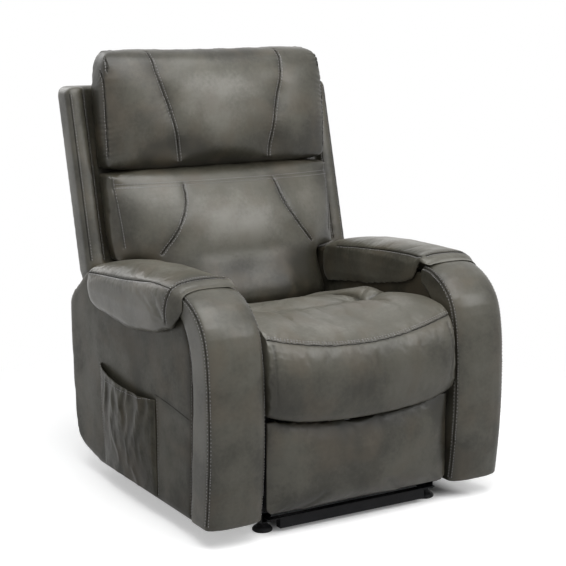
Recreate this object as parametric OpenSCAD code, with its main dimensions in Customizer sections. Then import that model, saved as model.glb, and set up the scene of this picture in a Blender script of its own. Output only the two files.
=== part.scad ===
// Power lift recliner: tilting lift base, lazy-tong footrest, reclining back and upholstered arms.
// Millimetres, +Z up, the sitter faces -Y, the origin is on the floor under the middle.
// Pairs such as [y, z] are points in the side view.

/* [Arms] */
// Inner face of an arm panel from the middle
arm_in = 270; // [266:1:290]
// Outer face of an arm panel from the middle
arm_out = 405; // [395:1:425]
// Height of an arm panel
arm_top = 545; // [530:1:560]
// Underside of the arms above the floor
arm_bottom = 46; // [40:1:60]
// How far a front band stands proud of the outer panel
band_proud = 4; // [2:0.5:8]
// How far a front band reaches past the inner panel
band_lip = 6; // [3:0.5:7]
// Crown of a front band
band_crown = 17; // [8:1:24]
// Height of an arm pillow over its panel
pad_rise = 49; // [35:1:60]
// Bulge of an arm pillow beyond its outer panel
pad_bulge = 27; // [20:1:34]
// Front end of an arm pillow
pad_front = -303; // [-310:1:-290]
// Rear end of an arm pillow
pad_rear = 182; // [170:1:183]

/* [Side pocket] */
// Wall of the pocket
pocket_wall = 2.5; // [2:0.1:4]
// How far the pocket stands out of its panel
pocket_depth = 22; // [16:1:28]
// Front edge of the pocket
pocket_front = -150; // [-170:1:-120]
// Rear edge of the pocket
pocket_rear = 160; // [130:1:180]
// Bottom edge of the pocket above the floor
pocket_bottom = 56; // [50:1:80]
// Lowest point of the pocket's hem
pocket_hem = 288; // [260:1:310]

/* [Seat] */
// Room between the seat cushion and an arm panel
seat_clear = 8; // [7:0.5:16]
// Underside of the seat cushion
seat_bottom = 299.3; // [299.3:0.1:306]
// Top of the seat cushion at its crown
seat_top = 452; // [440:1:470]
// Foremost point of the seat cushion
seat_front = -445; // [-452:1:-438]
// Depth of each tuft in the seat
tuft = 11; // [4:1:16]

/* [Back] */
// Lean of the back from upright, degrees
back_lean = 14.7; // [10:0.1:18]
// Front of the wings at the height back_ref
back_y = 261; // [255:1:270]
// Height at which back_y is taken
back_ref = 559; // [550:1:570]
// Thickness of the back shell
shell_t = 76; // [60:1:80]
// Half width across the wings
wing_half = 391; // [375:1:400]
// Depth of the recess between the wings
wing_step = 22; // [10:1:30]
// Half width between the wings
recess_half = 342; // [338:1:346]
// Top of the back shell
shell_top = 986; // [960:1:1000]
// Underside of the wings
wing_bottom = 494; // [494:0.5:505]
// Room between the back shell and an arm panel
shell_clear = 10; // [9:0.5:20]
// Half width of the back cushions
cushion_half = 335; // [320:1:337]
// Room between the lumbar cushion and an arm panel
lumbar_clear = 12; // [10:0.5:25]
// Underside of the lumbar cushion's wide part
lumbar_step = 550; // [549:1:565]
// Underside of the lumbar cushion
lumbar_bottom = 396; // [390:1:410]
// Seam between the lumbar and head cushions
crease = 775; // [760:1:790]
// Top of the head cushion
head_top = 1084; // [1060:1:1100]

/* [Footrest] */
// Room between the footrest panel and a front band
foot_clear = 8; // [6:0.5:16]
// Underside of the footrest panel
foot_bottom = 50; // [48:1:60]
// Top of the footrest panel in the middle
foot_top = 245; // [235:1:250]
// Rise of its top edge towards the sides
foot_rise = 40; // [20:1:42]
// Thickness of the footrest board
board_t = 12; // [9:0.5:12]
// Thickness of the footrest pad at its edge
foot_edge = 8; // [6:0.5:10]
// Crown of the footrest pad
foot_crown = 16; // [8:1:22]
// Corner radius of the footrest panel
foot_corner = 25; // [15:1:35]

/* [Base] */
// Side of the square base tube
rail = 26; // [24:1:28]
// Wall of the base tube
rail_wall = 2; // [1.5:0.1:3]
// Height of a base tube above the floor
rail_z = 24; // [20:1:26]
// Half distance between the base rails, centre to centre
rail_x = 231; // [231:0.5:231.5]
// Front end of the base rails
rail_front = -362; // [-366:1:-350]
// Rear end of the base rails
rail_rear = 330; // [300:1:340]
// Foot radius on the floor
foot_r = 24; // [18:1:28]
// Thickness of the front channel
channel_t = 2.5; // [2:0.1:4]
// Thickness of a riser plate
riser_t = 6; // [5:0.5:6]

/* [Linkage] */
// Thickness of a link
link_t = 5; // [4:0.1:5.2]
// Running gap between two links side by side
link_gap = 1; // [0.8:0.1:1]
// Inner face of the carrier plates
plate_x = 232; // [231:0.5:232]
// Half width of a footrest link
link_r = 11; // [10:0.5:12]
// Half width of a lift link
lift_r = 13; // [12:0.5:14]
// Radius of a footrest pin
pin_r = 5; // [4:0.1:5.5]
// Radius of a lift pin
lift_pin_r = 6; // [5:0.1:6.5]
// Radius of a torque tube's journal
journal_r = 9; // [8:0.1:10]
// Running clearance round a pin
fit = 0.05; // [0.03:0.01:0.1]
// Play of the upper lift pivot on the carrier
lift_play = 1.7; // [1.7:0.05:2]
// Play of the two outer pivots of the footrest
tong_play = 1.0; // [1:0.05:1.3]
// Play of an actuator's eye
eye_play = 2.75; // [2.7:0.05:3]

/* [Actuators] */
// Outer radius of an actuator tube
tube_r = 17; // [15:0.5:18]
// Radius of the lift rod
lift_rod_r = 10; // [8:0.5:11]
// Radius of the recline rod
recline_rod_r = 9; // [7:0.5:10]
// Radius of a motor can
can_r = 21; // [18:0.5:23]
// Sliding clearance of a rod in its tube
rod_fit = 0.08; // [0.05:0.01:0.1]

/* [Hidden] */
$fn = 48;
gap = 0.3;
seat_half = arm_in - seat_clear;
shell_half = arm_in - shell_clear;
lumbar_half = arm_in - lumbar_clear;
foot_half = arm_in - band_lip - foot_clear;

// Pivots of the lift, at rest
L0 = [193, 98];
L1 = [-189, 101];
U0 = [147, 174];
U1 = [-202, 154];
// Pivots of the footrest, at rest
S1 = [-203.5, 215];
S2 = [-297.8, 284.7];
E1 = [-133.4, 91.8];
F1 = [-370.1, 259];
E2 = [-220.5, 98.1];
F2 = [-367.4, 193.5];
M = E1 + 0.396 * (F1 - E1);
// Hinge of the back, and the actuators' pins
HB = [165, 300];
KL = [-277, 72];
GL = [166, 158];
KR = [-211, 240];
GR = [184, 252];
tube_y = [-240, 60];
tube_z = 283;
tube_round = 12;

// Height and length of each actuator's eye at rest
function dir(a) = [cos(a), sin(a)];
function heading(p, q) = atan2(q[1] - p[1], q[0] - p[0]);
lift_a = heading(KL, GL) + 0.319;
lift_len = norm(GL - KL);
recline_a = heading(KR, GR) - 0.288;
recline_len = norm(GR - KR);

// Inner face of the layer k of the links, counted outwards from the carrier plate
pitch = link_t + link_gap;
function layer(k) = plate_x + k * pitch;
bracket_x = layer(-4);
long_x = layer(-3);
drive_x = layer(-2);
lower_x = layer(-1);
upper_x = layer(1);
riser_x = layer(2);

// A smooth open curve through points, n steps a span
function knot(p, i) = p[max(0, min(len(p) - 1, i))];
function catmull(a, b, c, d, t) = 0.5 * (2 * b + (c - a) * t + (2 * a - 5 * b + 4 * c - d) * t * t
    + (3 * b - a - 3 * c + d) * t * t * t);
function curve(p, n) = [for (i = [0:len(p) - 2], j = [0:n - 1])
    catmull(knot(p, i - 1), p[i], p[i + 1], knot(p, i + 2), j / n), p[len(p) - 1]];
function back_to_front(p) = [for (i = [len(p) - 1:-1:0]) p[i]];
// Value at x of a table of [x, value] rows with rising x
function at(x, t) = x <= t[0][0] ? t[0][1] : x >= t[len(t) - 1][0] ? t[len(t) - 1][1] :
    let (i = max([for (k = [0:len(t) - 2]) if (t[k][0] <= x) k]),
        u = (x - t[i][0]) / (t[i + 1][0] - t[i][0]), s = u * u * (3 - 2 * u))
    t[i][1] + s * (t[i + 1][1] - t[i][1]);
function bump(d, r) = exp(-d * d / (r * r));
function sgn(x) = x < 0 ? -1 : 1;
function pw(x, e) = sgn(x) * pow(abs(x), e);
// Left normals of an open chain
function unit(v) = v / max(0.0001, norm(v));
function normals(p) = [for (i = [0:len(p) - 1])
    let (t = unit(knot(p, i + 1) - knot(p, i - 1))) [t[1], -t[0]]];

// A closed skin over rings of equal length, capped by pairing each ring's two halves
module loft(rings) {
    m = len(rings[0]);
    n = len(rings);
    pts = [for (r = rings) each r];
    sides = [for (i = [0:n - 2], j = [0:m - 1]) let (a = i * m + j, b = i * m + (j + 1) % m,
        c = (i + 1) * m + (j + 1) % m, d = (i + 1) * m + j) each [[a, b, c], [a, c, d]]];
    low = [for (j = [0:m / 2 - 2]) let (a = j, b = j + 1, c = m - 2 - j, d = m - 1 - j)
        each [[b, a, d], [b, d, c]]];
    o = (n - 1) * m;
    high = [for (j = [0:m / 2 - 2]) let (a = o + j, b = o + j + 1, c = o + m - 2 - j, d = o + m - 1 - j)
        each [[a, b, c], [a, c, d]]];
    tri = concat(sides, low, high);
    mid = pts[0];
    vol = [for (t = tri) (pts[t[0]] - mid) * cross(pts[t[1]] - mid, pts[t[2]] - mid)] * [for (t = tri) 1];
    polyhedron(pts, vol > 0 ? [for (t = tri) [t[2], t[1], t[0]]] : tri, convexity = 6);
}

module both() {
    children();
    mirror([1, 0, 0]) children();
}
// A round piece along X, from x0, at the point p of the side view
module rod_x(p, r, x0, len) {
    translate([x0, p[0], p[1]]) rotate([0, 90, 0]) cylinder(r = r, h = len);
}
// A flat bar between two points of the side view, with round eyes a little wider than its shank
eye_step = 0.8;
module bar(p, q, r, x0, t) {
    a = heading(p, q);
    translate([x0, p[0], p[1]]) rotate([a, 0, 0]) {
        translate([0, 0, eye_step - r]) cube([t, norm(q - p), 2 * (r - eye_step)]);
        for (y = [0, norm(q - p)]) translate([0, y, 0]) rotate([40, 0, 0]) rotate([0, 90, 0])
            cylinder(r = r, h = t);
    }
}
// A riveted pin from the face x1 of its own link inwards through the link next to it
module pin_in(p, x1, r) {
    end = x1 - pitch - gap;
    rod_x(p, r, end, x1 - end + link_t / 2);
    rod_x(p, r + 3, end - 2.4, 2.4);
}
module bore(p, r, x0, t) {
    rod_x(p, r, x0 - 1, t + 2);
}
module torque_tube(p, r, x_shoulder, x_end) {
    rod_x(p, r, -x_shoulder, 2 * x_shoulder);
    rod_x(p, journal_r, -x_end, 2 * x_end);
}
module box_tube(size, wall, len) {
    difference() {
        translate([-size / 2, 0, 0]) cube([size, len, size]);
        translate([-size / 2 + wall, -1, wall]) cube([size - 2 * wall, len + 2, size - 2 * wall]);
    }
}

// ---- Base ----
module base_side_rails() color("dimgray") both()
    translate([rail_x, rail_front, rail_z]) box_tube(rail, rail_wall, rail_rear - rail_front);

front_low = 10;
channel_d = 18;
flange_half = 236;
web_half = 204;
module base_front_rail() color("dimgray") {
    top = front_low + rail;
    translate([-flange_half, rail_front - channel_d, top - channel_t])
        cube([2 * flange_half, channel_d, channel_t]);
    translate([-web_half, rail_front - channel_d, front_low])
        cube([2 * web_half, channel_t, top - front_low - channel_t / 2]);
    translate([-web_half, rail_front - channel_d, front_low]) cube([2 * web_half, channel_d, channel_t]);
    both() translate([web_half - channel_t, rail_front - channel_d, front_low])
        cube([channel_t, channel_d, top - front_low - channel_t / 2]);
}

mid_tube_y = -290;
rear_tube_y = 250;
module base_cross_tubes() color("dimgray") for (y = [mid_tube_y, rear_tube_y])
    translate([rail_x - rail / 2, y + rail / 2, rail_z]) rotate([0, 0, 90])
        box_tube(rail, rail_wall, 2 * rail_x - rail);

module riser_plates() color("dimgray") both() {
    r = lift_r + 5;
    top = rail_z + rail;
    front = U0[0] - r;
    rear = L0[0] + r;
    side = [[front - 16, rail_z], [rear + 18, rail_z], [rear + 18, top], [rear, top + 14], [rear, L0[1] - 4],
        [rear - 4, L0[1] + r + 2], [U0[0] + r - 1, U0[1] - 4], [front + 1, U0[1] - 4], [front - 3, top + 12],
        [front - 16, top]];
    difference() {
        union() {
            translate([riser_x, 0, 0]) rotate([90, 0, 90]) linear_extrude(riser_t) polygon(side);
            rod_x(U0, r, riser_x, riser_t);
            rod_x(L0, r + 4, riser_x, riser_t);
        }
        bore(L0, journal_r + fit, riser_x, riser_t);
    }
    pin_in(U0, riser_x, lift_pin_r);
}

foot_y = [-343, 306];
module levelling_feet() color("black") both() for (y = foot_y) translate([rail_x, y, 0])
    rotate_extrude() polygon([[0, 0], [foot_r - 2, 0], [foot_r, 2], [foot_r, 5], [foot_r - 3, 9],
        [foot_r - 9, 13], [foot_r - 13, 18], [foot_r - 13, rail_z], [0, rail_z]]);

clevis_half = 14;
clevis_t = 4;
module clevis(p, q, r) both() bar(p, q, r, clevis_half + gap, clevis_t);
module lift_motor_bracket() color("dimgray") {
    base_y = mid_tube_y + rail / 2;
    intersection() {
        clevis(KL, [base_y, rail_z + rail], 12);
        translate([-30, base_y - rail / 2, rail_z + rail]) cube([60, 60, 60]);
    }
    rod_x(KL, lift_pin_r, -clevis_half - clevis_t - 3, 2 * (clevis_half + clevis_t + 3));
}

// ---- Lift linkage ----
module lower_lift_links() color("gray") both() difference() {
    bar(L1, L0, lift_r + 2, lower_x, link_t);
    bore(L0, journal_r + fit, lower_x, link_t);
    bore(L1, lift_pin_r + fit, lower_x, link_t);
}
eye_half = 9.5;
lever_in = eye_half + 1.5;
lever_t = 5;
lift_tube_r = 14;
module lift_torque_tube() color("gray") {
    torque_tube(L0, lift_tube_r, lower_x - 0.2, riser_x + riser_t + 0.5);
    both() bar(L0, GL, 15, lever_in, lever_t);
    rod_x(GL, lift_pin_r, -lever_in - lever_t - 2, 2 * (lever_in + lever_t + 2));
}
module upper_lift_links() color("gray") both() difference() {
    bar(U0, U1, lift_r, upper_x, link_t);
    bore(U0, lift_pin_r + fit, upper_x, link_t);
    bore(U1, lift_pin_r + lift_play, upper_x, link_t);
}

// ---- Actuators ----
// An actuator's fixed half along +Y from its rear eye: eye, gearbox, can and tube
module motor_half(body, bore_r, bore_len, box_start, can_side) difference() {
    union() {
        rod_x([0, 0], 12, -clevis_half, 2 * clevis_half);
        translate([-9, 0, -10]) cube([18, box_start + 4, 20]);
        translate([-22, box_start, -22]) cube([44, 42, 44]);
        translate([0, box_start + 40, 0]) rotate([-90, 0, 0]) cylinder(r = tube_r, h = body - box_start - 40);
        translate([0, body - 10, 0]) rotate([-90, 0, 0]) cylinder(r = tube_r + 2, h = 10);
        translate([can_side * (22 + can_r - 3), box_start + 6, 0]) rotate([-90, 0, 0])
            cylinder(r = can_r, h = 104);
        translate([can_side * (22 + can_r - 3), box_start, 0]) rotate([-90, 0, 0])
            cylinder(r = can_r + 1.5, h = 42);
    }
    bore([0, 0], lift_pin_r + fit, -clevis_half, 2 * clevis_half);
    translate([0, body - bore_len, 0]) rotate([-90, 0, 0]) cylinder(r = bore_r + rod_fit, h = bore_len + 1);
}
eye_r = 16;
module rod_half(start, len, r) difference() {
    union() {
        translate([0, start, 0]) rotate([-90, 0, 0]) cylinder(r = r, h = len - start - eye_r + 3);
        rod_x([len, 0], eye_r, -eye_half, 2 * eye_half);
    }
    bore([len, 0], lift_pin_r + eye_play, -eye_half, 2 * eye_half);
}
module placed(k, a) translate([0, k[0], k[1]]) rotate([a, 0, 0]) children();
lift_body = 330;
recline_body = 278;
module lift_motor() color("slategray") placed(KL, lift_a) motor_half(lift_body, lift_rod_r, 150, 22, 1);
module lift_rod() color("silver") placed(KL, lift_a) rod_half(lift_body - 90, lift_len, lift_rod_r);
module recline_bracket() color("gray") {
    difference() {
        clevis(KR, [tube_y[0], tube_z], 11);
        rod_x([tube_y[0], tube_z], tube_round, -60, 120);
    }
    rod_x(KR, lift_pin_r, -clevis_half - clevis_t - 3, 2 * (clevis_half + clevis_t + 3));
}
module recline_motor() color("slategray") placed(KR, recline_a)
    motor_half(recline_body, recline_rod_r, 130, 28, 1);
module recline_rod() color("silver") placed(KR, recline_a)
    rod_half(recline_body - 70, recline_len, recline_rod_r);

// The footrest's gear motor turns its torque tube and hangs on the front seat tube
gear_x = -150;
gear_w = 46;
torque_r = 11;
module footrest_motor() color("slategray") difference() {
    union() {
        rod_x(S1, 26, gear_x, gear_w);
        translate([gear_x + gear_w / 2, S1[0], S1[1] - 118]) cylinder(r = can_r, h = 104);
        translate([gear_x + gear_w / 2, S1[0], S1[1] - 40]) cylinder(r = can_r + 2, h = 30);
        bar(S1, [tube_y[0], tube_z], 16, gear_x + gear_w / 2 - 5, 10);
    }
    rod_x(S1, torque_r + fit, gear_x - 1, gear_w + 2);
    rod_x([tube_y[0], tube_z], tube_round + 0.02, gear_x - 1, gear_w + 2);
}

// ---- Carrier ----
module carrier_plates() color("gray") both() {
    difference() {
        union() {
            bar(S2, [110, S2[1]], 14, plate_x, link_t);
            bar([112, S2[1]], HB, 20, plate_x, link_t);
            bar([S1[0], 268], [S1[0], 160], 28, plate_x, link_t);
            bar(U1, L1, 18, plate_x, link_t);
        }
        bore(S1, journal_r + fit, plate_x, link_t);
        bore(HB, journal_r + fit, plate_x, link_t);
    }
    rod_x(S2, pin_r + 3, drive_x + link_t + gap, plate_x - drive_x - link_t - gap);
    rod_x(S2, pin_r, drive_x - gap, plate_x - drive_x + gap);
    rod_x(S2, pin_r + 3, drive_x - gap - 2.4, 2.4);
    rod_x(L1, lift_pin_r, lower_x + 0.2, plate_x - lower_x);
    rod_x(U1, lift_pin_r, plate_x + link_t - 1, link_gap + link_t + gap + 1);
    rod_x(U1, lift_pin_r + 3.5, upper_x + link_t + gap, 2.4);
}
side_z = 270;
module seat_side_tubes() color("gray") both() difference() {
    x0 = plate_x + link_t;
    translate([x0, -300, side_z]) cube([arm_in - x0, 455, 29]);
    translate([x0 + 2, -301, side_z + 2]) cube([arm_in - x0 - 4, 457, 25]);
}
module seat_cross_tubes() color("gray") for (y = tube_y)
    rod_x([y, tube_z], tube_round, -plate_x, 2 * plate_x);

// A sinuous spring: a flat wire that swings from side to side along Y
spring_w = 3.6;
function snake(n, amp) = [for (i = [0:n]) [amp * sin(i * 90 + 45), tube_y[0] - 8 + i * (316 / n)]];
module seat_springs() color("silver") for (k = [-2:2]) {
    c = snake(22, 17);
    nn = normals(c);
    left = [for (i = [0:len(c) - 1]) c[i] + nn[i] * spring_w / 2];
    right = [for (i = [0:len(c) - 1]) c[i] - nn[i] * spring_w / 2];
    translate([k * 86, 0, tube_z + tube_round]) linear_extrude(spring_w)
        polygon(concat(left, back_to_front(right)));
}

// Seat cushion: a waterfall profile, crowned, with drawn-in sides and two tufts
seat_line = [[0, -4], [-60, 2], [-140, 6], [-220, 12], [-300, 16], [-370, 14], [-404, 2], [-432, -26],
    [-445, -60], [-444, -105], [-436, -150], [-424, -178]];
seat_drop = 38;
seat_smile = 25;
function seat_low(x) = seat_bottom - 8 - seat_drop * pow(max(0, 1 - pow(x / seat_half, 2)), 0.8);
function seat_ring(x) = let (u = abs(x) / seat_half, crown = 7 * (1 - u * u),
    c = curve(concat([[86, -14]], seat_line), 2), n = normals(c), k = len(c) - 1, low = seat_low(x),
    top = [for (i = [0:k]) let (p = c[i], side = pow(u, 7) * at(p[0], [[-430, 11], [-290, 24]]),
        d = bump(norm([abs(x) - 150, p[0] + 170]), 46) * tuft
        + 3 * bump(abs(x) - 150, 12) * bump(p[0] + 250, 130)
        + 3 * bump(p[0] + 170 + 0.3 * abs(x), 12) * bump(abs(x) - 60, 60),
        q = p + n[i] * ((p[0] > 60 ? 0 : crown) - side * (i == 0 ? 0.6 : 1) - (i < 2 ? 0 : d)),
        z = q[1] < -60 ? -60 + (q[1] + 60) / 118 * (seat_top - 60 - low) : q[1])
        [x, max(q[0], seat_front),
            max(seat_top + z + seat_smile * u * u * bump(p[0] + 400, 75) * bump(z + 10, 60), low)]],
    front = top[k][1],
    under = [for (i = [0:k]) let (t = i / k, y = t < 0.25 ? front + 8 + t / 0.25 * 22 :
        front + 30 + (t - 0.25) / 0.75 * (82 - front - 30),
        z = t < 0.14 ? low : t < 0.3 ? low + (t - 0.14) / 0.16 * (seat_bottom - low) : seat_bottom)
        [x, y, z]])
    concat(top, under);
seat_stations = [for (u = [-1, -0.985, -0.94, -0.86, -0.74, -0.66, -0.57, -0.48, -0.36, -0.2, 0,
    0.2, 0.36, 0.48, 0.57, 0.66, 0.74, 0.86, 0.94, 0.985, 1]) u * seat_half];
module seat_cushion() color("tan") loft([for (x = seat_stations) seat_ring(x)]);

// ---- Arms ----
// Welt between a front band and its panel, top to bottom
welt = [[-265, 523], [-300, 503], [-324, 465], [-337, 420], [-341, 372], [-341, 300], [-337, 233],
    [-333, 150], [-329, 90], [-326, 0]];
// Outer seam of a front band, top to bottom
seam = [[-265, 561], [-306, 556], [-352, 534], [-386, 500], [-404, 455], [-414, 385], [-417, 300],
    [-416, 215], [-409, 125], [-399, 0]];
function from_floor(p) = [for (i = [0:len(p) - 1]) i == len(p) - 1 ? [p[i][0], arm_bottom] : p[i]];
panel_rear = [[190, arm_top], [215, arm_top - 4], [238, arm_top - 10], [262, arm_top - 24], [279, 507],
    [329, 472], [352, 448], [359, 430], [357, 353], [338, 136], [334, 108], [322, 85], [290, 66],
    [243, arm_bottom + 10], [190, arm_bottom]];
module arm_panel() color("burlywood") {
    edge = [for (p = curve(from_floor(welt), 2)) [p[0] + gap, min(p[1], arm_top)]];
    translate([arm_in, 0, 0]) rotate([90, 0, 90]) linear_extrude(arm_out - arm_in)
        polygon(concat([[-265 + gap, arm_top]], panel_rear, back_to_front(edge)));
}
function band_ring(x, xc, half) = let (u = abs(x - xc) / half, c = curve(from_floor(seam), 2),
    n = normals(c), w = curve(from_floor(welt), 2), lift = band_crown * pow(max(0, 1 - pow(u, 3)), 0.7))
    concat([for (i = [0:len(c) - 1]) let (p = c[i] + n[i] * lift * (i < 1 ? 0.3 : 1))
        [x, p[0], i == len(c) - 1 ? arm_bottom : p[1]]],
        back_to_front([for (p = w) [x, p[0], p[1]]]));
module arm_band() color("tan") {
    x0 = arm_in - band_lip;
    x1 = arm_out + band_proud;
    xc = (x0 + x1) / 2;
    half = (x1 - x0) / 2;
    loft([for (u = [-1, -0.92, -0.72, -0.38, 0, 0.38, 0.72, 0.92, 1]) band_ring(xc + u * half, xc, half)]);
}

// Arm pillow: draped over the panel, with a flap down each side
pad_in_face = 262.3;
pad_crest = [[-303, -14], [-283, -8], [-258, 0], [-200, 1], [-100, 0], [0, -7], [100, -18], [150, -26],
    [182, -36]];
pad_outer_low = [[-303, 528], [-262, 478], [-176, 447], [-42, 433], [137, 449], [182, 464]];
pad_inner_low = [[-303, 571], [-262, 571], [-240, 523], [-164, 497], [0, 471], [161, 452], [182, 460]];
function pad_ring(y) = let (
    e0 = min(1, (y - pad_front) / 26), e1 = min(1, (pad_rear - y) / 26),
    e = 0.35 + 0.65 * sqrt(max(0, 1 - pow(1 - e0, 2))) * sqrt(max(0, 1 - pow(1 - e1, 2))),
    xi = arm_in - gap, xo = arm_out + band_proud + gap, over = y < -258 ? 1 : 0,
    z0 = arm_top + gap, zb = z0 + 33 * over, zc = zb - 3 * over,
    zt = max(zb + 8, z0 + (over + (1 - over) * e) * (pad_rise + at(y, pad_crest) - gap) - over * 6 * (1 - e)),
    zi = min(at(y, pad_inner_low), zb - 8), zo = at(y, pad_outer_low), zr = max(z0, zi + 8),
    ti = xi - (pad_in_face + (1 - e) * 4), b = 8 + (pad_bulge - 8) * e,
    s = zt - zr, t = zt - z0,
    outer = [[xi - ti * 0.55, zi], [xi - ti, zi + (zr - zi) * 0.35], [xi - ti, zi + (zr - zi) * 0.85],
        [xi - ti + 3, zr + s * 0.5], [xi + 12, zr + s * 0.86], [xi + 32, zr + s * 0.97],
        [xi + 62, zt], [xi + 94, z0 + t * 0.98], [xo - 12, z0 + t * 0.9],
        [xo + b * 0.45, z0 + t * 0.62], [xo + b * 0.85, z0 + t * 0.12], [xo + b, z0 + (zo - z0) * 0.35],
        [xo + b * 0.86, z0 + (zo - z0) * 0.75], [xo + b * 0.42, zo]],
    inner = [[xi, zi + 0.4], [xi, zi + (zc - zi) * 0.4], [xi, zi + (zc - zi) * 0.8], [xi, zc],
        [xi + 12, zb - over], [xi + 32, zb], [xi + 62, zb], [xi + 94, zb], [xo - 14, zb - 5 * over],
        [xo - 4, zb - 10 * over], [xo, zb - 16 * over], [xo, z0 + (zo - z0) * 0.4],
        [xo, z0 + (zo - z0) * 0.75], [xo, zo + 0.5]])
    [for (p = concat(outer, back_to_front(inner))) [p[0], y, p[1]]];
pad_stations = [for (t = [0, 0.012, 0.035, 0.0875, 0.0925, 0.14, 0.22, 0.33, 0.45, 0.57, 0.69, 0.8, 0.9,
    0.955, 0.985, 1]) pad_front + t * (pad_rear - pad_front)];
module arm_pillow() color("tan") loft([for (y = pad_stations) pad_ring(y)]);
module arm_panel_left() arm_panel();
module arm_panel_right() mirror([1, 0, 0]) arm_panel();
module arm_band_left() arm_band();
module arm_band_right() mirror([1, 0, 0]) arm_band();
module arm_pillow_left() arm_pillow();
module arm_pillow_right() mirror([1, 0, 0]) arm_pillow();

// Side pocket: a gathered pouch, open at the top, sewn to the right arm
pocket_n = 25;
function hem_z(t) = pocket_hem + 16 * pow(abs(t - 0.3) / 0.7, 2) * (t > 0.3 ? 1.7 : 0.9);
function pocket_out(t, v) = let (w = sin(180 * t), belly = 0.25 + 0.75 * sin(90 * min(1, v * 1.6)))
    pow(max(0, w), 0.45) * belly * (pocket_depth - pocket_wall)
    + 0.9 * sin(t * 360 * 6) * v * pow(max(0, w), 0.5);
function pocket_ring(v) = let (
    ys = [for (j = [0:pocket_n - 1]) j / (pocket_n - 1)],
    y = function(t) pocket_front + t * (pocket_rear - pocket_front)
        + (1 - v) * (t < 0.5 ? -5 : -18) * abs(1 - 2 * t),
    z = function(t) pocket_bottom + v * (hem_z(t) - pocket_bottom),
    skin = function(t, k) arm_out + gap + pocket_out(t, v) + k)
    concat([for (t = ys) [-skin(t, pocket_wall), y(t), z(t)]],
        [for (j = [pocket_n - 1:-1:0]) let (t = ys[j],
            s = pocket_wall * (t < 0.5 ? 1 : -1) * max(0, 1 - 8 * min(t, 1 - t)))
            [-skin(t, 0), y(t) + s, z(t)]]);
module side_pocket() color("tan") loft([for (v = [0, 0.06, 0.2, 0.4, 0.62, 0.82, 1]) pocket_ring(v)]);

module rear_apron() color("tan") {
    y0 = 308;
    translate([-arm_in, y0, 92]) cube([2 * arm_in, 12, 163]);
}

// Control box, hung on the rear seat tube, with two inlet sockets at its back
box_x = 110;
box_w = 96;
module control_box() color("black") difference() {
    union() {
        translate([box_x, 6, tube_z - tube_round - 46]) cube([box_w, 104, 45.9]);
        translate([box_x + 20, tube_y[1] - 17, tube_z - tube_round - 2]) cube([box_w - 40, 34, tube_round + 2]);
    }
    rod_x([tube_y[1], tube_z], tube_round + 0.02, box_x, box_w);
    for (x = [box_x + 20, box_x + 56]) translate([x, 98, tube_z - tube_round - 32]) cube([20, 20, 14]);
}

// ---- Back ----
function plane(z) = back_y + (z - back_ref) * tan(back_lean);
module back_hinge_brackets() color("gray") both() difference() {
    top = 345;
    union() {
        bar(HB, [plane(top) + 22, top - 19], 16, lower_x, link_t);
        translate([lower_x, plane(top) - 4, top - 40]) cube([link_t, 60, 40]);
        translate([lower_x, plane(top) - 4, top - 5]) cube([32, 60, 5]);
    }
    bore(HB, journal_r + fit, lower_x, link_t);
}
back_tube_r = 12;
module back_torque_tube() color("gray") {
    torque_tube(HB, back_tube_r, lower_x - 0.2, plate_x + link_t - 0.5);
    both() bar(HB, GR, 15, lever_in, lever_t);
    rod_x(GR, lift_pin_r, -lever_in - lever_t - 2, 2 * (lever_in + lever_t + 2));
}
// The wings' lower ends follow an arc round the back's hinge, just outside the arms' rear
wing_top = 541;
tail_r = 244;
wing_corner = 20;
// A shell ring at height z: rounded outer edges, set back by s outside the half width h
function shell_ring(z, w, r, s, h) = let (y = plane(z), t = shell_t, inner = wing_step,
    f = [[w, (s + t) / 2 - 1], [w - 0.6, s + r], [w - r * 0.3, s + r * 0.3], [w - r, s], [h + 3, s], [h, inner],
        [h * 0.66, inner], [h * 0.33, inner]],
    g = [[w, (s + t) / 2 + 1], [w - 0.6, t - r], [w - r * 0.3, t - r * 0.3], [w - r, t], [h + 3, t], [h, t],
        [h * 0.66, t + 1.5], [h * 0.33, t + 2]])
    concat([for (p = f) [p[0], y + p[1], z]], [for (i = [7:-1:0]) [-f[i][0], y + f[i][1], z]],
        [for (p = g) [-p[0], y + p[1], z]], [for (i = [7:-1:0]) [g[i][0], y + g[i][1], z]]);
module back_shell() color("burlywood") {
    c = wing_corner;
    wide = [for (z = [wing_top, wing_top + 8, 640, 760, 880, shell_top - c, shell_top - 0.6 * c,
        shell_top - 0.25 * c, shell_top]) let (d = max(0, z - shell_top + c), w = wing_half - c + sqrt(c * c - d * d))
        shell_ring(z, w, 14, 0, min(recess_half, w - 20))];
    setback = function(z) max(0, HB[0] + sqrt(tail_r * tail_r - pow(z - HB[1], 2)) - plane(z));
    round = function(z) min(14, (shell_t - setback(z)) / 2 - 1);
    tails = [for (z = [wing_bottom, wing_bottom + 6, wing_bottom + 14, 516, 522, 526, wing_top - 0.5])
        shell_ring(z, wing_half - 9 * pow(max(0, (525 - z) / 32), 2), round(z), setback(z), shell_half - 2)];
    low = wing_bottom - 0.5;
    narrow = concat([for (z = [345.3, 440, low - 6]) shell_ring(z, shell_half, 8, wing_step, shell_half - 14)],
        [shell_ring(low, shell_half, round(low), setback(low), shell_half - 7)]);
    foot = [for (z = [312, 345]) shell_ring(z, lower_x - 0.3, 8, wing_step, lower_x - 14.3)];
    loft(concat(foot, narrow, tails, wide));
}
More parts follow.
